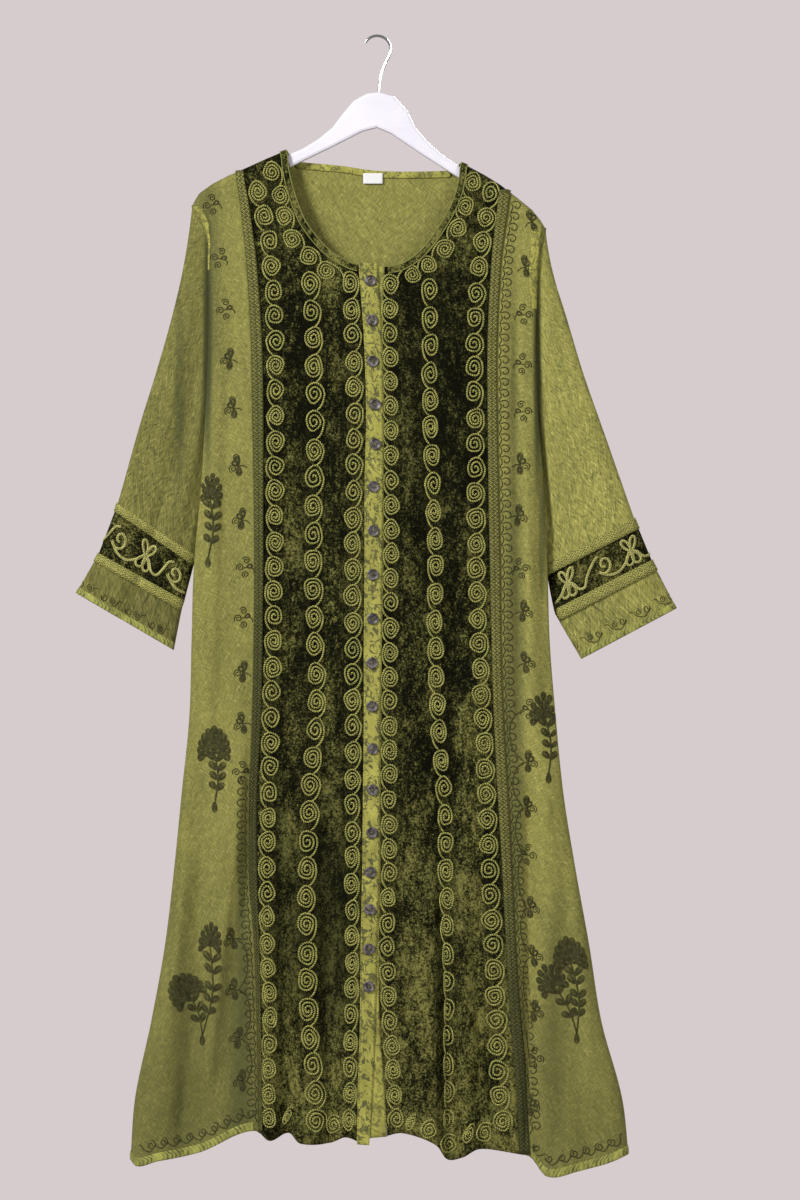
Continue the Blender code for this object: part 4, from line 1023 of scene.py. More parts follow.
def sleeve_part(name, side, stations, lift=0.0, rows_tall=3.2):
    """A ring of the sleeve between stations, moved out by lift where it lies on another."""
    def at(share, down):
        turn = share * 2 - 1
        station = stations[0] + (stations[-1] - stations[0]) * down
        found = sleeve_at(side, turn, station)
        if lift:
            found = found + sleeve_facing(side, turn, station) * lift
        return found

    reach = (sleeve_at(side, 0, stations[-1]) - sleeve_at(side, 0, stations[0])).length
    return bent_sheet(name, at, AROUND, even_shares(max(int(reach / rows_tall), 4)),
                      probe=(0.25, 0.5), close=True)


def around(steps):
    """Shares round a sleeve, closer together at the two folds."""
    half = [0.25 * (1 - math.cos(math.pi * k / steps)) for k in range(steps + 1)]
    return half + [1 - share for share in half[-2::-1]]


AROUND = around(36)
# Painted light: the left sleeve's colour is made darker and the right one's lighter, and the cuffs
# take it too. Painted shade deepens the armhole seams and a fold groove on the left sleeve.
SLEEVE_PAINTED_LIGHT = {LEFT: 0.68, RIGHT: 1.28}
SLEEVE_SHADE = SEAM_SHADOW + [DarkSpot(-259, 470, 10, 170, 0.45)]
band_finish = crushed_velvet("crushed_velvet_band", 0.012)
for side, word in WORDS.items():
    light = SLEEVE_PAINTED_LIGHT[side]
    hang(sleeve_part(f"sleeve_{word}", side, (0, UPPER_TRIM[1] - 0.02), rows_tall=4.0),
         f"upper_sleeve_{word}",
         woven_green(f"woven_green_sleeve_{word}", light, 1.0, 16, 0.72, 0.9, SLEEVE_SHADE))
    hang(sleeve_part(f"velvet_band_{word}", side, (UPPER_TRIM[1] + 0.02, LOWER_TRIM[1] - 0.02)),
         f"sleeve_band_{word}", band_finish)
    hang(sleeve_part(f"woven_cuff_{word}", side, (LOWER_TRIM[1] + 0.02, CUFF_END)), f"cuff_{word}",
         woven_green(f"woven_green_cuff_{word}", 0.88 * light, 1.1, 12, 0.7, 1.0))


# The trims: woven tape about 15 mm wide, sewn over the seams of velvet and side fronts and of
# the sleeves' bands. Two pale threads zigzag down it, over its rows of slanting stitches.
TAPE_LIFT = 1.7
TAPE_THICK = 1.1
ZIGZAG_STEP = 5.4
ZIGZAG_HALF = 0.85
ZIGZAG_HIGH = 0.5
# The middle and the sway of each zigzag, as shares of the body tape's width
ZIGZAGS = ((0.25, 0.15), (0.7, 0.17))
SLEEVE_ZIGZAG_STEPS = 110


def front_facing(x, depth, step=1.2):
    return facing_of(front_at, x, depth, (step, step), VIEWER)


def on_front(x, depth, lift):
    return front_at(x, depth) + front_facing(x, depth) * lift


# The dark colour that painted shade mixes into the trims and their zigzag threads.
THREAD_SHADE = (0.012, 0.014, 0.005)


def woven_tape(name, spots=(), light=1.0):
    """Slanting stitches that meet in the middle of the tape, light on dark green."""
    paint = Paint(name, 0.8, True, Specular_IOR_Level=0.25)
    parts = paint.parts()
    fold = paint.maths("PINGPONG", parts["X"], 0.0043)
    slant = paint.maths("MULTIPLY_ADD", fold, 0.9, parts["Y"])
    ragged = paint.noise((420, 420, 1))
    slant = paint.maths("MULTIPLY_ADD", ragged, 0.0016, slant)
    stitch = paint.maths("PINGPONG", paint.maths("MULTIPLY", slant, 1 / 0.0034), 0.5)
    height = paint.maths("MULTIPLY", stitch, 2.0)
    dark = tuple(part * light for part in (0.035, 0.036, 0.01))
    pale = tuple(part * light for part in (0.16, 0.152, 0.038))
    ground = paint.shades(paint.swayed(height, ragged, 0.9), (0.25, dark), (0.8, pale))
    return paint.done(painted_shade_and_darkening(paint, ground, spots, THREAD_SHADE), height, 0.7, 0.8)


def laid_cords(name, runs, half_wide, half_high, sides, finish):
    """Threads or cords laid on cloth, joined in one piece.

    Each run is a list of places with their outward directions, bent into a tube whose two
    ends close. The UV map gives the distance round and along, in metres.
    """
    bm = bmesh.new()
    map_layer = bm.loops.layers.uv.new("UVMap")
    spots = []
    for run in runs:
        verts = bmesh.ops.create_grid(bm, x_segments=sides, y_segments=len(run) - 1,
                                      size=1.0)["verts"]
        along = 0.0
        for j, (point, facing) in enumerate(run):
            before = run[max(j - 1, 0)][0]
            after = run[min(j + 1, len(run) - 1)][0]
            along += (point - before).length
            ahead = (after - before).normalized()
            beside = ahead.cross(facing).normalized()
            swell = 0.0 if j in (0, len(run) - 1) else 1.0
            for i in range(sides + 1):
                angle = 2 * math.pi * i / sides
                out = beside * (math.cos(angle) * half_wide * swell)
                out += facing * (math.sin(angle) * half_high * swell)
                verts[j * (sides + 1) + i].co = to_world(point + out)
                spots.append((i / sides * half_wide * 6 * MM, along * MM))
    bm.verts.index_update()
    for face in bm.faces:
        for loop in face.loops:
            loop[map_layer].uv = spots[loop.vert.index]
    bmesh.ops.remove_doubles(bm, verts=bm.verts[:], dist=0.000001)
    bmesh.ops.recalc_face_normals(bm, faces=bm.faces[:])
    piece = new_piece(name, bm)
    piece.data.materials.append(finish)
    return piece


def twisted_thread(name, light, dark, step=0.0022, crown=0.0, spots=()):
    """Sewn or plied thread: pale turns, with painted shade darkening the grooves that slant between
    them.

    Crown is where its two plies meet on top, as a distance round, and zero for one ply; painted
    shade darkens that line.
    """
    paint = Paint(name, 0.75, True, Specular_IOR_Level=0.15)
    parts = paint.parts()
    slant = paint.maths("MULTIPLY_ADD", parts["X"], 0.5, parts["Y"])
    turn = paint.maths("PINGPONG", paint.maths("MULTIPLY", slant, 1 / step), 0.5)
    worn = paint.noise(160.0, at=paint.on_object())
    tone = paint.swayed(paint.maths("MULTIPLY", turn, 2.0), worn, 1.3)
    if crown:
        away = paint.maths("MULTIPLY", paint.away(parts["X"], crown), 0.5 / crown)
        tone = paint.maths("SUBTRACT", tone, paint.shades(away, (0.03, 0.8), (0.12, 0.0)))
    ground = paint.shades(tone, (0.12, dark), (0.62, light))
    return paint.done(painted_shade_and_darkening(paint, ground, spots, THREAD_SHADE), turn, 0.6, 0.5)


def trim_across(side, depth, share, inset=0.0):
    inner = line(side, "trim_in", depth) + inset
    outer = line(side, "trim_out", depth) - inset
    return side * (inner + (outer - inner) * share)


def trim_down(side):
    """The tape down one front, with the depths of its two ends."""
    top = shoulder(trim_across(side, 180.0, 0.5)) + 1.5
    foot = hem("front", trim_across(side, FOOT, 0.5)) - 1.0

    def at(share, down):
        depth = top + (foot - top) * down
        crown = 0.5 * math.sin(math.pi * share)
        return on_front(trim_across(side, depth, share), depth, TAPE_LIFT + crown)

    tape = bent_sheet(f"tape_{WORDS[side]}", at, even_shares(8), rows_down(280, 10, 0.008))
    return tape, top, foot


# Painted shade darkens the trims where they lie in fold valleys: the left one from the chest down
# and the right one near the hem, so both are brightest at the shoulder.
TAPE_SHADE = [DarkSpot(186, 1400, 60, 420, 0.6), DarkSpot(-150, 1250, 120, 1000, 0.66)]
tape_finish = woven_tape("woven_trim", TAPE_SHADE)
pale_thread = twisted_thread("zigzag_thread", (0.5, 0.475, 0.13), (0.055, 0.055, 0.016),
                             spots=TAPE_SHADE)
for side, word in WORDS.items():
    tape, top, foot = trim_down(side)
    count = int((foot - top) / ZIGZAG_STEP)
    runs = []
    for middle, wide in ZIGZAGS:
        run = []
        for k in range(2 * count + 1):
            depth = top + (foot - top) * (0.002 + 0.996 * k / (2 * count))
            x = trim_across(side, depth, middle + wide * (-1) ** k)
            run.append((on_front(x, depth, TAPE_LIFT + 0.8), front_facing(x, depth)))
        runs.append(run)
    thread = laid_cords(f"tape_thread_{word}", runs, ZIGZAG_HALF, ZIGZAG_HIGH, 4, pale_thread)
    hang(tape, f"trim_{word}", tape_finish,
         TAPE_THICK)

sleeve_tape_finish = woven_tape("woven_trim_sleeve", light=2.6)
sleeve_thread = twisted_thread("sleeve_zigzag_thread", (0.62, 0.58, 0.17), (0.15, 0.145, 0.04))
for side in SIDES:
    for word, stations in (("upper", UPPER_TRIM), ("lower", LOWER_TRIM)):
        name = f"{word}_{WORDS[side]}"
        tape = sleeve_part(f"sleeve_tape_{name}", side, stations, TAPE_LIFT, 1.8)
        middle = (stations[0] + stations[-1]) / 2
        sway = (stations[-1] - stations[0]) * 0.2
        runs = []
        for row in (-1, 1):
            run = []
            for k in range(SLEEVE_ZIGZAG_STEPS + 1):
                turn = k / SLEEVE_ZIGZAG_STEPS * 2 - 1
                station = middle + row * sway + sway * 0.75 * (-1) ** k
                facing = sleeve_facing(side, turn, station)
                run.append((sleeve_at(side, turn, station) + facing * (TAPE_LIFT + 0.25), facing))
            runs.append(run)
        thread = laid_cords(f"sleeve_tape_thread_{name}", runs, ZIGZAG_HALF, ZIGZAG_HIGH, 4,
                            sleeve_thread)
        hang(tape, f"sleeve_trim_{name}", sleeve_tape_finish,
             TAPE_THICK)


# The neck strips: velvet strips along the front neck edge from placket to shoulder, each with
# a thin corded edge on both sides.
STRIP_WIDE = 8.6
STRIP_LIFT = 1.5
STRIP_THICK = 1.0
PIPING_HALF = 0.75
STRIP_FROM = 0.02
STRIP_SPAN = 0.975
NECK_STEPS = 70


def neck_line(side):
    """The neck edge from the placket to the shoulder, with the way in from it."""
    tops = velvet_tops(side)
    edge = [velvet_top(side, NECK_CORNER * k / NECK_STEPS, tops) for k in range(NECK_STEPS + 1)]
    places = [Vector((side * spot.x, spot.depth)) for spot in edge]
    found = []
    for k, spot in enumerate(places):
        ahead = (places[min(k + 1, NECK_STEPS)] - places[max(k - 1, 0)]).normalized()
        found.append((spot, Vector((ahead.y, -ahead.x)) * -side))
    return found


NECK_LINES = {side: neck_line(side) for side in SIDES}


def neck_spot(side, share, inward, lift):
    """A place beside the neck edge, a share of the way along it and some way in from it."""
    k = min(max(share, 0.0), 1.0) * NECK_STEPS
    low = min(int(k), NECK_STEPS - 1)
    (spot, way), (next_spot, next_way) = NECK_LINES[side][low:low + 2]
    place = spot.lerp(next_spot, k - low) + way.lerp(next_way, k - low).normalized() * inward
    place.y = max(place.y, shoulder(place.x) + 0.6)
    return on_front(place.x, place.y, lift)


strip_finish = crushed_velvet("crushed_velvet_strip", 0.06)
piping_finish = twisted_thread("piping", (0.26, 0.27, 0.07), (0.1, 0.11, 0.03))
for side, word in WORDS.items():
    def strip_at(share, down):
        return neck_spot(side, STRIP_FROM + STRIP_SPAN * share, 0.2 + STRIP_WIDE * down,
                         STRIP_LIFT + 0.5 * math.sin(math.pi * down))

    hang(bent_sheet(f"neck_strip_velvet_{word}", strip_at, even_shares(90), even_shares(6)),
         f"neck_strip_{word}", strip_finish,
         STRIP_THICK)
    runs = [[(neck_spot(side, STRIP_FROM + STRIP_SPAN * share, inward, STRIP_LIFT + 0.3), VIEWER)
             for share in even_shares(120)] for inward in (0.4, STRIP_WIDE)]
    laid_cords(f"neck_piping_{word}", runs, PIPING_HALF, PIPING_HALF, 6, piping_finish)


# The plackets: two folded strips of the brightest green down the front opening. The upper one
# has a row of stitches near each edge, one across below its top and one below the knees.
PLACKET_ENDS = [(301, 302), (1460, 1461)]
UNDER_ENDS = [(304.5, 306.5), (1453, 1450)]
PLACKET_OUT = 2.3
PLACKET_THICK = 1.5
STITCH_LONG = 2.6
STITCH_STEP = 4.2
STITCH_HALF = 0.4
STITCH_HIGH = 0.3
STITCH_SHARES = (0.07, 0.93)
PLACKET_SEAM = 1162.0


def placket_at(share, depth, lift=PLACKET_OUT):
    left = -line(LEFT, "placket", depth)
    x = left + (line(RIGHT, "placket", depth) - left) * share
    return on_front(x, depth, lift)


def under_at(share, depth):
    left = -line(LEFT, "placket", depth) + PLACKET_TUCK + SEAM
    x = left + (line(RIGHT, "under", depth) - left) * share
    return on_front(x, depth, 0.1 + 0.25 * math.sin(math.pi * share))


placket_finish = bright_green("bright_green_placket", 1.0)


def between_ends(ends, share, down):
    """The depth some way down a strip whose ends may slope."""
    (top, right_top), (foot, right_foot) = ends
    top += (right_top - top) * share
    foot += (right_foot - foot) * share
    return top + (foot - top) * down


def placket_sheet(share, down):
    depth = between_ends(PLACKET_ENDS, share, down)
    puckers = 0.35 * math.sin(depth / 5.3 + 2.2 * math.sin(depth / 23)) * math.sin(math.pi * share)
    step = 0.5 * smooth((depth - PLACKET_SEAM) / 1.5)
    return placket_at(share, depth, PLACKET_OUT + puckers - step)


def under_sheet(share, down):
    return under_at(share, between_ends(UNDER_ENDS, share, down))


hang(bent_sheet("upper_placket", placket_sheet, even_shares(12), even_shares(420)), "placket",
     placket_finish,
     PLACKET_THICK)
hang(bent_sheet("lower_placket", under_sheet, even_shares(10), even_shares(200)), "under_placket",
     bright_green("bright_green_under", 0.7))

stitch_finish = twisted_thread("stitching", (0.3, 0.3, 0.07), (0.09, 0.1, 0.03))
runs = []
for share in STITCH_SHARES:
    depth = PLACKET_ENDS[0][0] + 3
    while depth < PLACKET_ENDS[1][0] - 4:
        runs.append([(placket_at(share, depth + STITCH_LONG * k / 3, PLACKET_OUT + 0.12),
                      VIEWER) for k in range(4)])
        depth += STITCH_STEP
for depth in (PLACKET_ENDS[0][0] + 9, PLACKET_SEAM):
    runs.append([(placket_at(0.03 + 0.94 * k / 12, depth, PLACKET_OUT + 0.2),
                  VIEWER) for k in range(13)])
laid_cords("placket_stitches", runs, STITCH_HALF, STITCH_HIGH, 4, stitch_finish)


# The buttons: eighteen round resin buttons, mottled purple-grey, with a raised rim and four
# holes, each sewn to the upper placket with two crossed threads.
Button = namedtuple("Button", "depth x")
BUTTONS = rows(Button, (325, -7), (377, -5), (431, -4), (488, -1), (540, -1), (596, -3), (654, -3),
    (712, -4), (770, -4), (828, -5), (885, -5), (941, -4), (995, -4), (1051, -5), (1103, -7),
    (1152, -8), (1204, -9), (1253, -9))
BUTTON_OUT = 0.35
HOLE_AWAY = 1.7
HOLE_RADIUS = 0.75
# A holding thread's way up from one hole and down the other: along the crossing, and height
HOLDING_WAY = ((-1, -1.2), (-1, 0.3), (-0.6, 1.0), (0.6, 1.0), (1, 0.3), (1, -1.2))
HOLDING_HALF = 0.35
Rim = namedtuple("Rim", "radius height")
BUTTON_PROFILE = rows(Rim, (0, -0.9), (5.6, -0.9), (7.0, -0.5), (7.6, 0.35), (7.35, 1.1),
    (6.6, 1.4), (5.7, 1.15), (4.7, 0.65), (0, 0.45))


def button_shape():
    """One button, spun from its profile with its holes cut through, in millimetres."""
    bm = bmesh.new()
    verts = [bm.verts.new((rim.radius, 0, rim.height)) for rim in BUTTON_PROFILE]
    edges = [bm.edges.new(pair) for pair in zip(verts, verts[1:])]
    bmesh.ops.spin(bm, geom=verts + edges, cent=(0, 0, 0), axis=(0, 0, 1), steps=28,
                   angle=2 * math.pi, use_merge=True)
    bmesh.ops.remove_doubles(bm, verts=bm.verts[:], dist=0.001)
    bmesh.ops.recalc_face_normals(bm, faces=bm.faces[:])
    blank = new_object("button_blank", bm)
    bm = bmesh.new()
    for k in range(4):
        made = bmesh.ops.create_cone(bm, cap_ends=True, segments=10, radius1=HOLE_RADIUS,
                                     radius2=HOLE_RADIUS, depth=6)["verts"]
        angle = math.radians(45 + 90 * k)
        bmesh.ops.translate(bm, verts=made, vec=(HOLE_AWAY * math.cos(angle),
                                                 HOLE_AWAY * math.sin(angle), 0))
    holes = new_object("button_holes", bm)
    cut = blank.modifiers.new("holes", "BOOLEAN")
    cut.object = holes
    cut.solver = "EXACT"
    bpy.context.view_layer.update()
    shape = bpy.data.meshes.new_from_object(
        blank.evaluated_get(bpy.context.evaluated_depsgraph_get()))
    for made in (blank, holes):
        bpy.data.objects.remove(made)
    return shape


def button_resin():
    """Polished resin, grey with purple and dark clouds."""
    paint = Paint("button", 0.42, Coat_Weight=0.06, Coat_Roughness=0.2)
    clouds = paint.noise(210.0, 4.0, 0.6, 0.8)
    resin = paint.shades(clouds, (0.34, (0.014, 0.011, 0.01)), (0.5, (0.055, 0.045, 0.042)),
                         (0.68, (0.22, 0.19, 0.18)))
    return paint.done(resin, clouds, 0.2, 0.3)


button_mesh = button_shape()
button_finish = button_resin()
holding_threads = []
for number, button in enumerate(BUTTONS, start=1):
    left = -line(LEFT, "placket", button.depth)
    share = (button.x - left) / (line(RIGHT, "placket", button.depth) - left)
    facing = front_facing(button.x, button.depth, 4.0)
    seat = placket_at(share, button.depth, PLACKET_OUT + BUTTON_OUT + 1.0)
    turned = Vector((0, 0, 1)).rotation_difference(facing)
    spin = (number * 37) % 90
    bm = bmesh.new()
    bm.from_mesh(button_mesh)
    bmesh.ops.rotate(bm, verts=bm.verts[:], cent=(0, 0, 0),
                     matrix=Matrix.Rotation(math.radians(spin), 3, "Z"))
    for crossing in (45, 135):
        angle = math.radians(crossing + spin)
        reach = Vector((math.cos(angle), math.sin(angle), 0)) * HOLE_AWAY
        run = []
        for along, height in HOLDING_WAY:
            local = reach * along + Vector((0, 0, height))
            run.append((seat + turned @ local, facing))
        holding_threads.append(run)
    bmesh.ops.rotate(bm, verts=bm.verts[:], cent=(0, 0, 0), matrix=turned.to_matrix())
    bmesh.ops.translate(bm, verts=bm.verts[:], vec=seat + Vector((0, 0, RAIL)))
    bmesh.ops.scale(bm, verts=bm.verts[:], vec=(MM, MM, MM))
    piece = new_piece(f"sewn_button_{number:02d}", bm)
    piece.data.set_sharp_from_angle(angle=math.radians(35))
    piece.data.materials.append(button_finish)
    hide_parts(f"button_{number:02d}")
laid_cords("button_threads", holding_threads, HOLDING_HALF, HOLDING_HALF, 5, stitch_finish)


# The coiled cord: a plied yellow-green cord couched on the velvet in flat spirals. Each turns
# out from its middle about three times, and its end runs down to the next one. A shorter row
# goes down beside the neck to the first coil of the inner row.
NECK_COILS = {
    LEFT: rows(Edge, (-137, 181), (-126, 212), (-120.5, 240), (-110, 270), (-88, 293), (-65, 312)),
    RIGHT: rows(Edge, (127.5, 195), (118, 227), (108, 256), (91, 283), (69, 304), (48, 317)),
}
CORD_HALF_WIDE = 1.12
CORD_HALF_HIGH = 0.95
CORD_LIFT = 0.85
COIL_STEPS = 15
Chain = namedtuple("Chain", "name line first last coils tail wide low_wide")
CHAINS = {
    LEFT: rows(Chain, ("inner", "inner", 328, 1428, 33, 1, 11.8, 9.6),
        ("middle", "middle", 328, 1430, 31, 1, 12.6, 12.8),
        ("outer", "outer", 206, 1428, 38, -1, 12.2, 10.2)),
    RIGHT: rows(Chain, ("inner", "inner", 330, 1428, 35, -1, 11.2, 11.0),
        ("middle", "middle", 337, 1430, 31, -1, 10.6, 10.5),
        ("outer", "outer", 209, 1430, 38, 1, 12.4, 14.0)),
}
# The right middle chain's inner halves go round a fold's steep side below this depth
HIDDEN_FROM = 1190.0
HIDDEN_WIDE = 4.0
Coil = namedtuple("Coil", "place outer inner tall turns")


def coil_run(coil, following, tail, rest=False):
    """The cord of one coil, from its middle out and on to the following coil's top.

    Outer is its half width on the side of its tail, inner on the other side.
    """
    ahead = following.place - coil.place
    gap = ahead.length - following.tall * 0.92
    gap = max(gap, coil.tall + 0.5)
    ahead = ahead.normalized()
    beside = Vector((ahead.y, -ahead.x)) * tail
    spots = []
    steps = int(coil.turns * COIL_STEPS)
    for k in range(steps + 1):
        share = k / steps
        angle = -2 * math.pi * coil.turns * (1 - share)
        wander = (0.05 * math.sin(3 * angle + coil.place.y)
                  + 0.035 * math.sin(4 * angle + coil.place.x))
        reach = (0.1 + 0.9 * share) * (1 + wander)
        wide = coil.outer if math.cos(angle) > 0 else coil.inner
        wide = coil.outer * 0.5 + coil.inner * 0.5 + (wide - (coil.outer + coil.inner) / 2) * share
        spots.append(coil.place + beside * (wide * reach * math.cos(angle))
                     + ahead * (coil.tall * reach * math.sin(angle)))
    for k in range(1, 7 if not rest else 3):
        angle = math.radians(82) * k / 6
        spots.append(coil.place + beside * (coil.outer * math.cos(angle))
                     + ahead * (gap * math.sin(angle)))
    return spots


def laid_on_front(spots, lift):
    return [(on_front(spot.x, spot.y, lift), front_facing(spot.x, spot.y)) for spot in spots]


def chain_coils(side, chain, draw):
    """One row's coils down its line, each a little uneven in place and size."""
    pitch = (chain.last - chain.first) / (chain.coils - 1)
    coils = []
    for k in range(chain.coils):
        depth = chain.first + k * pitch + draw.uniform(-1.2, 1.2)
        x = side * line(side, chain.line, depth) + draw.uniform(-0.7, 0.7)
        lower = smooth((depth - 800) / 500)
        wide = chain.wide + (chain.low_wide - chain.wide) * lower
        wide *= draw.uniform(0.93, 1.05)
        tall = pitch * draw.uniform(0.43, 0.475)
        outer = inner = wide
        if (side, chain.name) == (RIGHT, "middle"):
            hidden = smooth((depth - HIDDEN_FROM + 60) / 120)
            outer += (HIDDEN_WIDE - outer) * hidden
            inner += 2.5 * hidden
        if (side, chain.name) == (LEFT, "middle") and depth > 1360:
            outer = inner = wide * 1.15
        coils.append(Coil(Vector((x, depth)), outer, inner, tall, draw.choice((2.5, 3.0, 3.0))))
    return coils


cord_finish = twisted_thread("coiled_cord", (0.56, 0.54, 0.15), (0.06, 0.065, 0.018), 0.003,
                             CORD_HALF_WIDE * 1.5 * MM)
draw = random.Random(41)
for side, word in WORDS.items():
    for chain in CHAINS[side]:
        coils = chain_coils(side, chain, draw)
        runs = []
        for coil, following in zip(coils, coils[1:] + [coils[-1]]):
            if following is coil:
                following = Coil(coil.place + Vector((0, 30)), 10, 10, 10, 1)
                runs.append(laid_on_front(coil_run(coil, following, chain.tail, True), CORD_LIFT))
            else:
                runs.append(laid_on_front(coil_run(coil, following, chain.tail), CORD_LIFT))
        piece = laid_cords(f"coils_{chain.name}_{word}", runs, CORD_HALF_WIDE,
                           CORD_HALF_HIGH, 6, cord_finish)
        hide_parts(f"coil_cord_{chain.name}_{word}")
    row = NECK_COILS[side]
    coils = []
    for k, spot in enumerate(row):
        if k + 1 < len(row):
            near = math.hypot(row[k + 1].x - spot.x, row[k + 1].depth - spot.depth)
        wide = 12.0 * draw.uniform(0.95, 1.05)
        coils.append(Coil(Vector((spot.x, spot.depth)), wide, wide, min(near * 0.46, 14.0), 3.0))
    inner_top = CHAINS[side][0].first
    end = Coil(Vector((side * line(side, "inner", inner_top), inner_top)), 11, 11, 12, 3)
    runs = [laid_on_front(coil_run(coil, following, side * -1), CORD_LIFT)
            for coil, following in zip(coils, coils[1:] + [end])]
    piece = laid_cords(f"coils_neck_{word}", runs, CORD_HALF_WIDE, CORD_HALF_HIGH, 5,
                       cord_finish)
    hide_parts(f"coil_cord_neck_{word}")


# The embroidery on the side fronts, in dark chain stitch: small sprigs on arching stems, taller
# plants with one or two blooms, a curled vine beside the trim and a row of scrolls above the
# hem. The back's hem has the same scrolls.
THREAD_HALF = 0.72
THREAD_HIGH = 0.5
THREAD_LIFT = 0.3
Sprig = namedtuple("Sprig", "x depth turn curled")
SPRIGS = {
    LEFT: rows(Sprig, (-214.5, 223.7, 10, True), (-204.6, 295, -12, True), (-196.7, 362, 8, True),
        (-191.4, 428, -4, False), (-186.8, 492, 6, False), (-180.8, 568, 10, False),
        (-175.6, 639, -6, False), (-170.3, 702, 0, True), (-173, 768, 6, True),
        (-173.5, 840, -8, False), (-174.5, 907, 12, False), (-175, 971, 0, True),
        (-187.4, 1190, 14, False), (-184.8, 1257, 4, False), (-179.5, 1321, -10, False),
        (-174.2, 1377, 0, False)),
    RIGHT: rows(Sprig, (204.6, 246, -20, False), (196, 306, -10, False), (192.7, 369, 0, True),
        (191.4, 434, 8, True), (191.4, 497, -6, True), (188.8, 566, 0, False),
        (186.1, 634, 6, False), (188.8, 704, -8, True), (192.7, 760, 4, False),
        (195.4, 828, -10, False), (200.6, 889, 6, True), (199.3, 958, 0, False),
        (198, 1018, -6, False), (198, 1080, 10, True), (202, 1150, 0, False),
        (205.9, 1214, -12, False), (207.2, 1286, 4, False), (207.2, 1347, 8, True),
        (202, 1410, -4, False)),
}
Bloom = namedtuple("Bloom", "x depth turn reach slim petals leaves")
Plant = namedtuple("Plant", "foot_x foot_depth blooms")
PLANTS = {
    LEFT: [
        Plant(-221, 690, [Bloom(-219, 610, 8, 28, 0.66, 9, 4)]),
        Plant(-212, 1012, [Bloom(-213, 945, 0, 30, 0.82, 11, 4)]),
        Plant(-228, 1318, [Bloom(-218, 1198, 4, 26, 0.66, 9, 5),
                           Bloom(-246, 1264, -38, 28, 0.98, 11, 3)]),
    ],
    RIGHT: [
        Plant(227, 974, [Bloom(222, 898, -4, 28, 0.8, 9, 4)]),
        Plant(264, 1316, [Bloom(256, 1222, -12, 31, 0.82, 11, 5),
                          Bloom(233, 1252, -26, 27, 0.82, 9, 3)]),
    ],
}
ARCHED_BELOW = {LEFT: 1100, RIGHT: 860}
VINE_STEP = 14.6
VINE_ENDS = {LEFT: (980, 1420), RIGHT: (222, 1440)}
SCROLL_STEP = 16.5
SCROLL_SCALE = 1.2
SCROLL_ABOVE_HEM = 24.0
BACK_SCROLLS = (-300.0, 305.0)
# A depth just above the hem, where the lines that run down to it are read
NEAR_HEM = 1440.0
# Stitches stop this far from a front's edge
EDGE_ROOM = 0.4


def through(places, per=4):
    """A smooth path through a few given places."""
    keys = list(range(len(places)))
    across = [float(place[0]) for place in places]
    down = [float(place[1]) for place in places]
    return [Vector((curve_through(keys, across, k / per), curve_through(keys, down, k / per)))
            for k in range(keys[-1] * per + 1)]


def moved(path, x, depth, turn=0.0, flip=1, scale=1.0):
    """A path turned by some degrees, mirrored or scaled, and set down at a place."""
    spin = Matrix.Rotation(math.radians(turn), 2)
    return [Vector((x, depth)) + spin @ Vector((spot.x * flip, spot.y)) * scale for spot in path]


def petal(long, wide, steps=10):
    """A teardrop outline, from its tip up round and back."""
    found = []
    for k in range(steps + 1):
        angle = 2 * math.pi * k / steps
        swell = max(math.sin(angle / 2), 0.0) ** 0.8
        found.append(Vector((wide * 0.62 * math.sin(angle) * swell,
                             -long * (1 - math.cos(angle)) / 2)))
    return found


def full_petal(long, wide, turn, rounds=2, start=0.0):
    """Rounds of stitches inside one another that fill a petal."""
    made = []
    for k in range(rounds):
        shape = petal(long * (1 - 0.27 * k), wide * (1 - 0.34 * k), 10 - 2 * k)
        made.append(moved([Vector((spot.x, spot.y - start - long * 0.12 * k)) for spot in shape],
                          0, 0, turn))
    return made


def curl(radius, turns, start=0.0, steps=12):
    """A flat spiral from its middle out."""
    count = int(steps * turns)
    angles = [start + 2 * math.pi * k / steps for k in range(count + 1)]
    return [Vector((math.cos(angle), math.sin(angle))) * radius * (0.15 + 0.85 * k / count)
            for k, angle in enumerate(angles)]


def sprig_paths(curled):
    """A sprig about 23 mm tall. Its stem joins at the left and it opens to the right."""
    if curled:
        made = [moved(curl(radius, 1.6, start), x, y) for x, y, radius, start in (
            (0.5, -9.0, 5.2, 2.4), (8.4, 0.4, 5.6, 3.4), (1.2, 9.4, 5.0, 4.0))]
        made += full_petal(8.0, 5.6, -70, 2)
        return made + [through([(-10, 8), (-9, 2), (-3, 0.5), (2, 0.5), (3.4, 1.5)], 3)]
    made = full_petal(14.5, 8.0, 6, 2, 0.5) + full_petal(12.5, 7.5, 174, 2, 1.0)
    made += full_petal(9.5, 6.2, 52, 2, 0.5) + [moved(petal(9, 2.6, 8), 0, -2.4, 6)]
    made += [moved(curl(5.6, 1.7, 3.4), 8.2, 3.0), moved(petal(7, 2.2, 8), 0, 3.4, 174)]
    return made + [through([(-11, 5), (-6, 1.5), (-1.5, 0.6), (1, 0.8), (2.6, 2)], 3)]


def bloom_paths(bloom):
    """Rows of scalloped petals round a small heart, one behind another, opening upwards."""
    made = []
    rings = ((0.36, 4, 75), (0.63, bloom.petals - 3, 96), (0.92, bloom.petals, 106))
    for reach, count, spread in rings:
        for k in range(count):
            turn = -spread + 2 * spread * k / (count - 1)
            far = bloom.reach * reach * (1 - 0.14 * math.sin(math.radians(abs(turn))))
            long = bloom.reach * 0.4
            made += full_petal(long, long * 0.72, turn, 3, far - long * 0.75)
    made = made + [curl(2.6, 1.5)]
    return [[Vector((spot.x * bloom.slim, spot.y * 1.12)) for spot in path] for path in made]


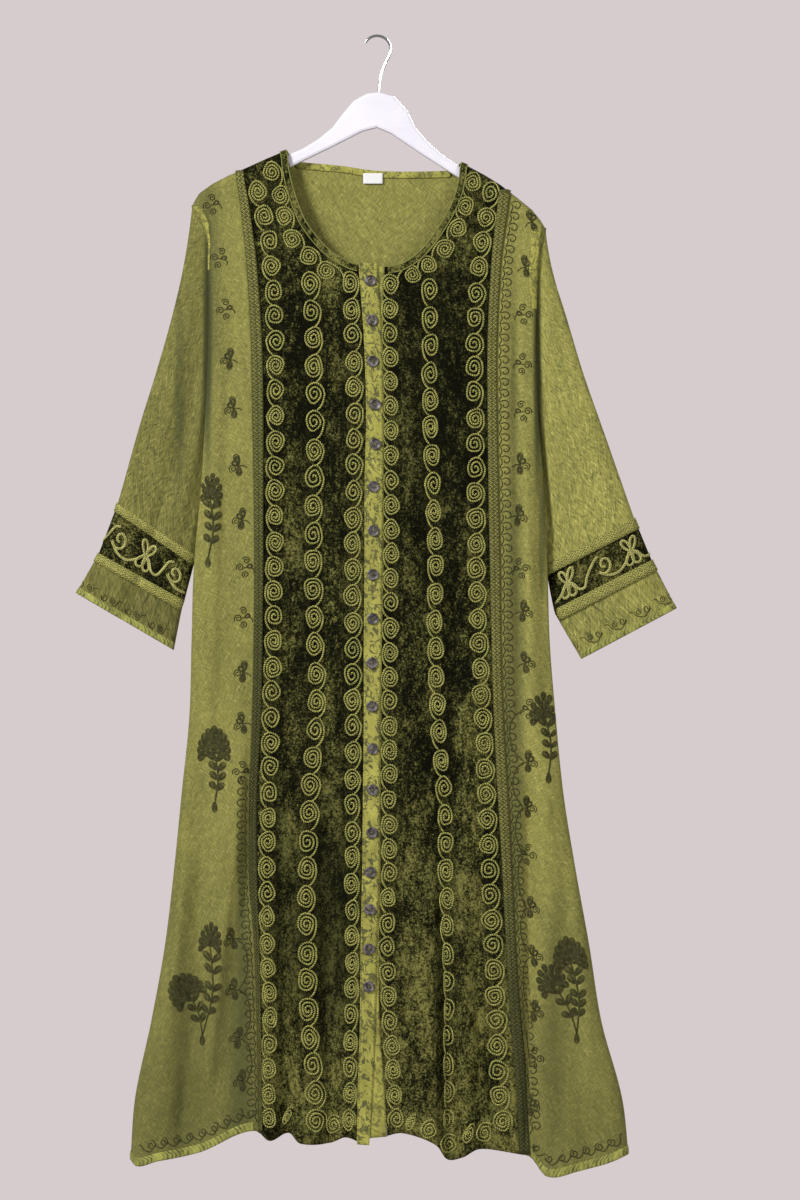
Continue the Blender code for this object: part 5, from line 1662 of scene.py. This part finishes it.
def plant_paths(plant):
    """The blooms, each on a stem with pairs of leaves down to the foot and its bud."""
    made = []
    for bloom in plant.blooms:
        for path in bloom_paths(bloom):
            made.append(moved(path, bloom.x, bloom.depth, bloom.turn))
        foot = Vector((plant.foot_x, plant.foot_depth))
        top = Vector((bloom.x, bloom.depth))
        along = foot - top
        bow = Vector((along.y, -along.x)).normalized() * along.length * 0.07
        stem = through([top, top.lerp(foot, 0.5) + bow, foot], 8)
        beside = Vector((0.8, 0.0))
        made += [stem, [spot + beside for spot in stem]]
        heading = math.degrees(math.atan2(-along.x, along.y))
        for k in range(bloom.leaves):
            share = 0.22 + 0.72 * k / bloom.leaves
            spot = stem[int(share * (len(stem) - 1))]
            for way in (-1, 1):
                for path in full_petal(16 - k, 7.5, way * 42 + heading, 3, 0.4):
                    made.append(moved(path, spot.x, spot.y + way * 0.8))
    for path in full_petal(14, 6.5, 180, 3):
        made.append(moved(path, plant.foot_x, plant.foot_depth - 2))
    return made


def vine_paths(side):
    """The curled vine down beside the trim, one hook to each step."""
    hook = through([(0, 0), (6, -2.6), (11.4, -0.6), (12.4, 4), (8.4, 7), (5, 5), (7, 2.8)], 2)
    link = through([(0, 0), (2.4, 3.6), (2.2, 8), (0.4, 11), (0, VINE_STEP)], 2)
    made = []
    depth, last = VINE_ENDS[side]
    while depth < last:
        x = side * (line(side, "trim_out", depth) + 2.4)
        made += [moved(hook, x, depth, 0, side), moved(link, x, depth, 0, side)]
        depth += VINE_STEP
    return made


def stem_paths(side):
    """The arching stems that carry the lower sprigs, each from the one above."""
    made = []
    row = [sprig for sprig in SPRIGS[side] if sprig.depth > ARCHED_BELOW[side]]
    for sprig, following in zip(row, row[1:]):
        room = max(side * sprig.x - line(side, "trim_out", sprig.depth) - 13.5, 1.5)
        x = side * sprig.x
        places = [(x - 4, sprig.depth + 2), (x - 4 - room * 0.7, sprig.depth + 8),
                  (x - 5 - room, sprig.depth + 25),
                  ((x + side * following.x) / 2 - 5 - room * 0.8, following.depth - 18),
                  (side * following.x - 4, following.depth + 1)]
        made.append([Vector((side * spot.x, spot.y)) for spot in through(places, 5)])
    return made


def scroll(step=SCROLL_STEP, scale=1.0):
    """One scroll of the border: a curl, and the wave that runs on from it."""
    coil = curl(4.6 * scale, 1.25, math.pi / 2)
    wave = through([coil[-1], (step * 0.16, 6.0 * scale), (step * 0.42, 5.6 * scale),
                    (step * 0.7, 1.5 * scale), (step * 0.78, -3.5 * scale),
                    (step * 1.05, -4.6 * scale)], 2)
    return coil + wave[1:]


def on_back(x, depth):
    """A stitch's place on the back's outer face and its outward direction."""
    facing = facing_of(back_spot, x, depth, (1, 1), -VIEWER)
    return back_spot(x, depth) + facing * THREAD_LIFT, facing


dark_thread = twisted_thread("dark_embroidery", (0.09, 0.085, 0.028), (0.006, 0.006, 0.002), 0.002)
for side, word in WORDS.items():
    paths = vine_paths(side) + stem_paths(side)
    for sprig in SPRIGS[side]:
        for path in sprig_paths(sprig.curled):
            paths.append(moved(path, sprig.x, sprig.depth, sprig.turn * side, side))
    for plant in PLANTS[side]:
        paths += plant_paths(plant)
    x = line(side, "trim_out", NEAR_HEM) + 10
    while x < line(side, "edge", NEAR_HEM + 10) - 10:
        depth = hem("front", side * x) - SCROLL_ABOVE_HEM
        lean = (hem("front", side * (x + 8)) - hem("front", side * (x - 8))) / 16
        paths.append(moved(scroll(SCROLL_STEP, SCROLL_SCALE), side * x, depth,
                           side * math.degrees(math.atan(lean)), side))
        x += SCROLL_STEP
    runs = []
    for path in paths:
        room = min(line(side, "edge", spot.y) - side * spot.x for spot in path)
        if room > EDGE_ROOM:
            runs.append(laid_on_front(path, THREAD_LIFT))
    laid_cords(f"embroidery_{word}", runs, THREAD_HALF, THREAD_HIGH, 4, dark_thread)

runs = []
x, last = BACK_SCROLLS
while x < last:
    path = moved(scroll(SCROLL_STEP, SCROLL_SCALE), x, hem("back", x) - SCROLL_ABOVE_HEM)
    runs.append([on_back(spot.x, spot.y) for spot in path])
    x += SCROLL_STEP
laid_cords("embroidery_back", runs, THREAD_HALF, THREAD_HIGH, 4, dark_thread)


# The cord on the sleeve bands: a broad flat braid couched in scrolls and four-leaved loops,
# three to a band. Small dark scrolls are stitched on the cuffs.
BRAID_HALF = 1.75
BRAID_HIGH = 0.9
BAND_REPEATS = 3
BAND_START = {LEFT: 8, RIGHT: -27}
BAND_MIDDLE = 7.5
CUFF_MIDDLE = 9.5
CUFF_SCROLL_ROOM = 34
CUFF_SCROLL_STEP = 24
CUFF_THREAD_HALF = 0.55


def on_sleeve(side, middle, across, along, lift):
    """A place across and along from the upper fold, in millimetres at a middle station."""
    wide, tall = RING_SIZES[side, middle]
    turn = (across / wide + 1) % 2 - 1
    station = middle + along / tall
    facing = sleeve_facing(side, turn, station)
    return sleeve_at(side, turn, station) + facing * lift, facing


RING_SIZES = {}
for side in SIDES:
    for middle in (BAND_MIDDLE, CUFF_MIDDLE):
        wide = (sleeve_at(side, -1, middle) - sleeve_at(side, 0, middle)).length
        tall = (sleeve_at(side, -0.5, middle + 0.5) - sleeve_at(side, -0.5, middle - 0.5)).length
        RING_SIZES[side, middle] = (wide, tall)


def band_paths(long):
    """One repeat of the braid: a hooked scroll, then four loops that meet, and a wave."""
    hook = moved(curl(11.5, 1.3, 0.9, 14), 13, -1)
    sweep = through([hook[-1], (15, 13.5), (29, 15.5), (42, 8), (50, -1)], 5)
    loops = []
    for turn, size, wide in ((-26, 19, 7.5), (160, 17, 10), (30, 19, 7.5), (212, 17, 10)):
        loops += moved(petal(size, wide, 16), 53, 0, turn)
    away = through([(53, 0), (60, 3), (66, 12), (74, 13), (80, 3), (long + 1, -10),
                    (long + 9, -13.5)], 5)
    return [hook + sweep[1:] + loops, away]


braid_finish = twisted_thread("braid", (0.6, 0.57, 0.2), (0.16, 0.155, 0.045), 0.003,
                              BRAID_HALF * 1.5 * MM)
for side, word in WORDS.items():
    wide = RING_SIZES[side, BAND_MIDDLE][0]
    long = 2 * wide / BAND_REPEATS
    runs = []
    for k in range(BAND_REPEATS):
        for path in band_paths(long):
            runs.append([on_sleeve(side, BAND_MIDDLE, side * (spot.x + k * long + BAND_START[side])
                                   - (wide if side == RIGHT else 0), spot.y * 0.98, BRAID_HIGH)
                         for spot in path])
    laid_cords(f"band_cord_{word}", runs, BRAID_HALF, BRAID_HIGH, 6, braid_finish)
    runs = []
    ring = 2 * RING_SIZES[side, CUFF_MIDDLE][0]
    count = int(ring / CUFF_SCROLL_ROOM)
    for k in range(count):
        x = k * ring / count
        paths = [moved(scroll(CUFF_SCROLL_STEP, 1.15), x, 11),
                 moved(curl(4.2, 1.6, 1.0), x + 12, 10)]
        for path in paths:
            runs.append([on_sleeve(side, CUFF_MIDDLE, -spot.x, spot.y, THREAD_LIFT)
                         for spot in path])
    laid_cords(f"cuff_scrolls_{word}", runs, CUFF_THREAD_HALF, THREAD_HIGH, 4, dark_thread)


# The gathered edges: narrow bright strips turned over the hems and the cuffs' ends and drawn
# up into small puckers, and the bright piping strip down the top of each armhole.
HEM_TALL = 11.5
CUFF_HEM_TALL = 8.5
PUCKER = 3.3
GATHERED_THICK = 0.6
ARMHOLE_THICK = 0.5
Taper = namedtuple("Taper", "depth wide")
ARMHOLE_STRIPS = {
    LEFT: rows(Taper, (226, 12), (248, 9), (262, 4), (310, 2.5)),
    RIGHT: rows(Taper, (256, 14), (290, 13), (330, 11), (362, 6)),
}
SEAM_ROLL = 1.25


def gathered_green(name):
    """Bright gathered cloth, with painted shade in the dark stripes between its puckers."""
    paint = Paint(name, 0.75, True, Sheen_Weight=0.1, Specular_IOR_Level=0.25)
    parts = paint.parts()
    lean = paint.maths("MULTIPLY_ADD", parts["Y"], 0.6, parts["X"])
    lean = paint.maths("MULTIPLY_ADD", paint.noise((170, 120, 1), 3.0, 0.6), 0.0045, lean)
    gap = paint.maths("MULTIPLY", paint.maths("PINGPONG", lean, 0.0029), 300.0)
    dark = paint.shades(gap, (0.0, 1.0), (0.2, 0.85), (0.5, 0.0))
    few = paint.shades(paint.noise((75, 20, 1), 2.0), (0.42, 0.15), (0.56, 1.0))
    share = paint.maths("MULTIPLY", paint.maths("MULTIPLY", dark, few), 0.95)
    soft = paint.noise((60, 60, 1))
    ground = paint.shades(soft, (0.32, (0.19, 0.195, 0.042)), (0.68, (0.4, 0.4, 0.09)))
    return paint.done(paint.mixed(share, ground, (0.05, 0.054, 0.02)), soft, 0.4, 0.8)


def lifted(at, across, down, steps, lift, outward):
    """A place on a surface, moved out along the surface's own direction."""
    return at(across, down) + facing_of(at, across, down, steps, outward) * lift


def pucker(along, down):
    """How far a gathered strip stands out, and how far its free edge wavers."""
    wave = abs(math.sin(math.pi * (along + 1.2 * math.sin(along / 11)) / PUCKER / 2))
    return 0.35 + 1.0 * wave * math.sin(math.pi * (0.12 + 0.8 * down))


hem_finish = gathered_green("gathered_green")
seam_finish = woven_green("woven_green_seam", 0.7)
for side, word in WORDS.items():
    outward = Vector((side * 0.7, -1, 0))

    def on_side(share, depth):
        return side_at(side, share, depth)

    def edge_at(share, down):
        x = on_side(share, NEAR_HEM).x
        foot = hem("front", x) + 0.5 if share < 0.97 else SEAM_HEM[side] + 0.5
        depth = foot - HEM_TALL * (1 - down)
        return lifted(on_side, share, depth, (0.002, 1.5),
                      pucker(abs(x) + 30 * max(share - WOVEN_FLAT, 0), down), outward)

    shares = [0.03 + 0.95 * k / 240 for k in range(241)]
    strip = bent_sheet(f"gathered_hem_{word}", edge_at, shares, even_shares(5),
                       probe=(0.3, 0.5))
    hang(strip, None, hem_finish,
         GATHERED_THICK)

    def cuff_edge_at(share, down):
        turn = share * 2 - 1
        wide, tall = RING_SIZES[side, CUFF_MIDDLE]
        station = CUFF_END - CUFF_HEM_TALL * (1 - down) / tall
        reach = share * 2 * wide
        facing = sleeve_facing(side, turn, station)
        waver = 0.5 * math.sin(reach / 5.1) * down / tall
        return sleeve_at(side, turn, station + waver) + facing * pucker(reach, down)

    strip = bent_sheet(f"gathered_cuff_{word}", cuff_edge_at, around(100), even_shares(5),
                       probe=(0.25, 0.5), close=True)
    hang(strip, None, hem_finish,
         GATHERED_THICK)

    def armhole_at(share, down):
        strip = ARMHOLE_STRIPS[side]
        depth = strip[0].depth + (strip[-1].depth - strip[0].depth) * down
        wide = float(np.interp(depth, [taper.depth for taper in strip],
                               [taper.wide for taper in strip]))
        inner = trim_middle(side, depth) + SEAM / 2
        edge = line(side, "edge", depth)
        inside = min(wide - max(side_seam(side, depth) - edge, 0), wide - 1.0) / (edge - inner)
        start = WOVEN_FLAT * (1 - inside ** (1 / 1.6))
        crown = 0.35 * math.sin(math.pi * share)
        return lifted(on_side, start + (1.0 - start) * share, depth, (0.002, 1.0), 0.5 + crown,
                      outward)

    hang(bent_sheet(f"armhole_strip_{word}", armhole_at, even_shares(8), even_shares(60)),
         None, bright_green(f"bright_green_armhole_{word}", 0.75),
         ARMHOLE_THICK)

    turns = [2 * share - 1 for share in even_shares(60)]
    runs = [[(sleeve_at(side, turn, 0.0), sleeve_facing(side, turn, 0.0)) for turn in turns]]
    underarm = -sleeve_at(side, 1, 0.0).z
    depths = [underarm + (SEAM_HEM[side] - underarm) * share for share in even_shares(60)]
    runs.append([(on_side(1.0, depth), Vector((side, 0, 0))) for depth in depths])
    laid_cords(f"rolled_seams_{word}", runs, SEAM_ROLL, SEAM_ROLL, 6, seam_finish)


def back_edge_at(share, down):
    x = back_at(share, NEAR_HEM).x
    depth = hem("back", x) + 0.5 - HEM_TALL * (1 - down)
    return lifted(back_at, share, depth, (0.0015, 1.5), pucker(x + 400, down), -VIEWER)


strip = bent_sheet("gathered_hem_back", back_edge_at, [0.012 + 0.976 * k / 420 for k in range(421)],
                   even_shares(5), -VIEWER)
hang(strip, None, hem_finish,
     GATHERED_THICK)


# The row of coils along the velvet's hem, of the same cord as the long rows, each tied to the
# next by the cord's tail. The row runs across, so a coil's width is read along it.
HemCoil = namedtuple("HemCoil", "x depth wide tall")
HEM_COILS = {
    LEFT: [HemCoil(-116, 1424, 5, 14), HemCoil(-55.4, 1435.5, 11, 13)],
    RIGHT: rows(HemCoil, (46.2, 1432, 6, 12), (70, 1441, 11.5, 13), (96, 1461, 13, 13),
        (122, 1447, 6.5, 14), (143, 1446, 12, 14)),
}
for side, word in WORDS.items():
    runs = []
    for hem_coil in HEM_COILS[side]:
        coil = Coil(Vector((hem_coil.x, hem_coil.depth)), hem_coil.tall, hem_coil.tall,
                    hem_coil.wide, 2.5)
        beyond = Coil(coil.place + Vector((hem_coil.wide * 2.2, 6)), 10, 10, 10, 1)
        runs.append(laid_on_front(coil_run(coil, beyond, 1, True), CORD_LIFT))
    laid_cords(f"coils_hem_{word}", runs, CORD_HALF_WIDE, CORD_HALF_HIGH, 6, cord_finish)
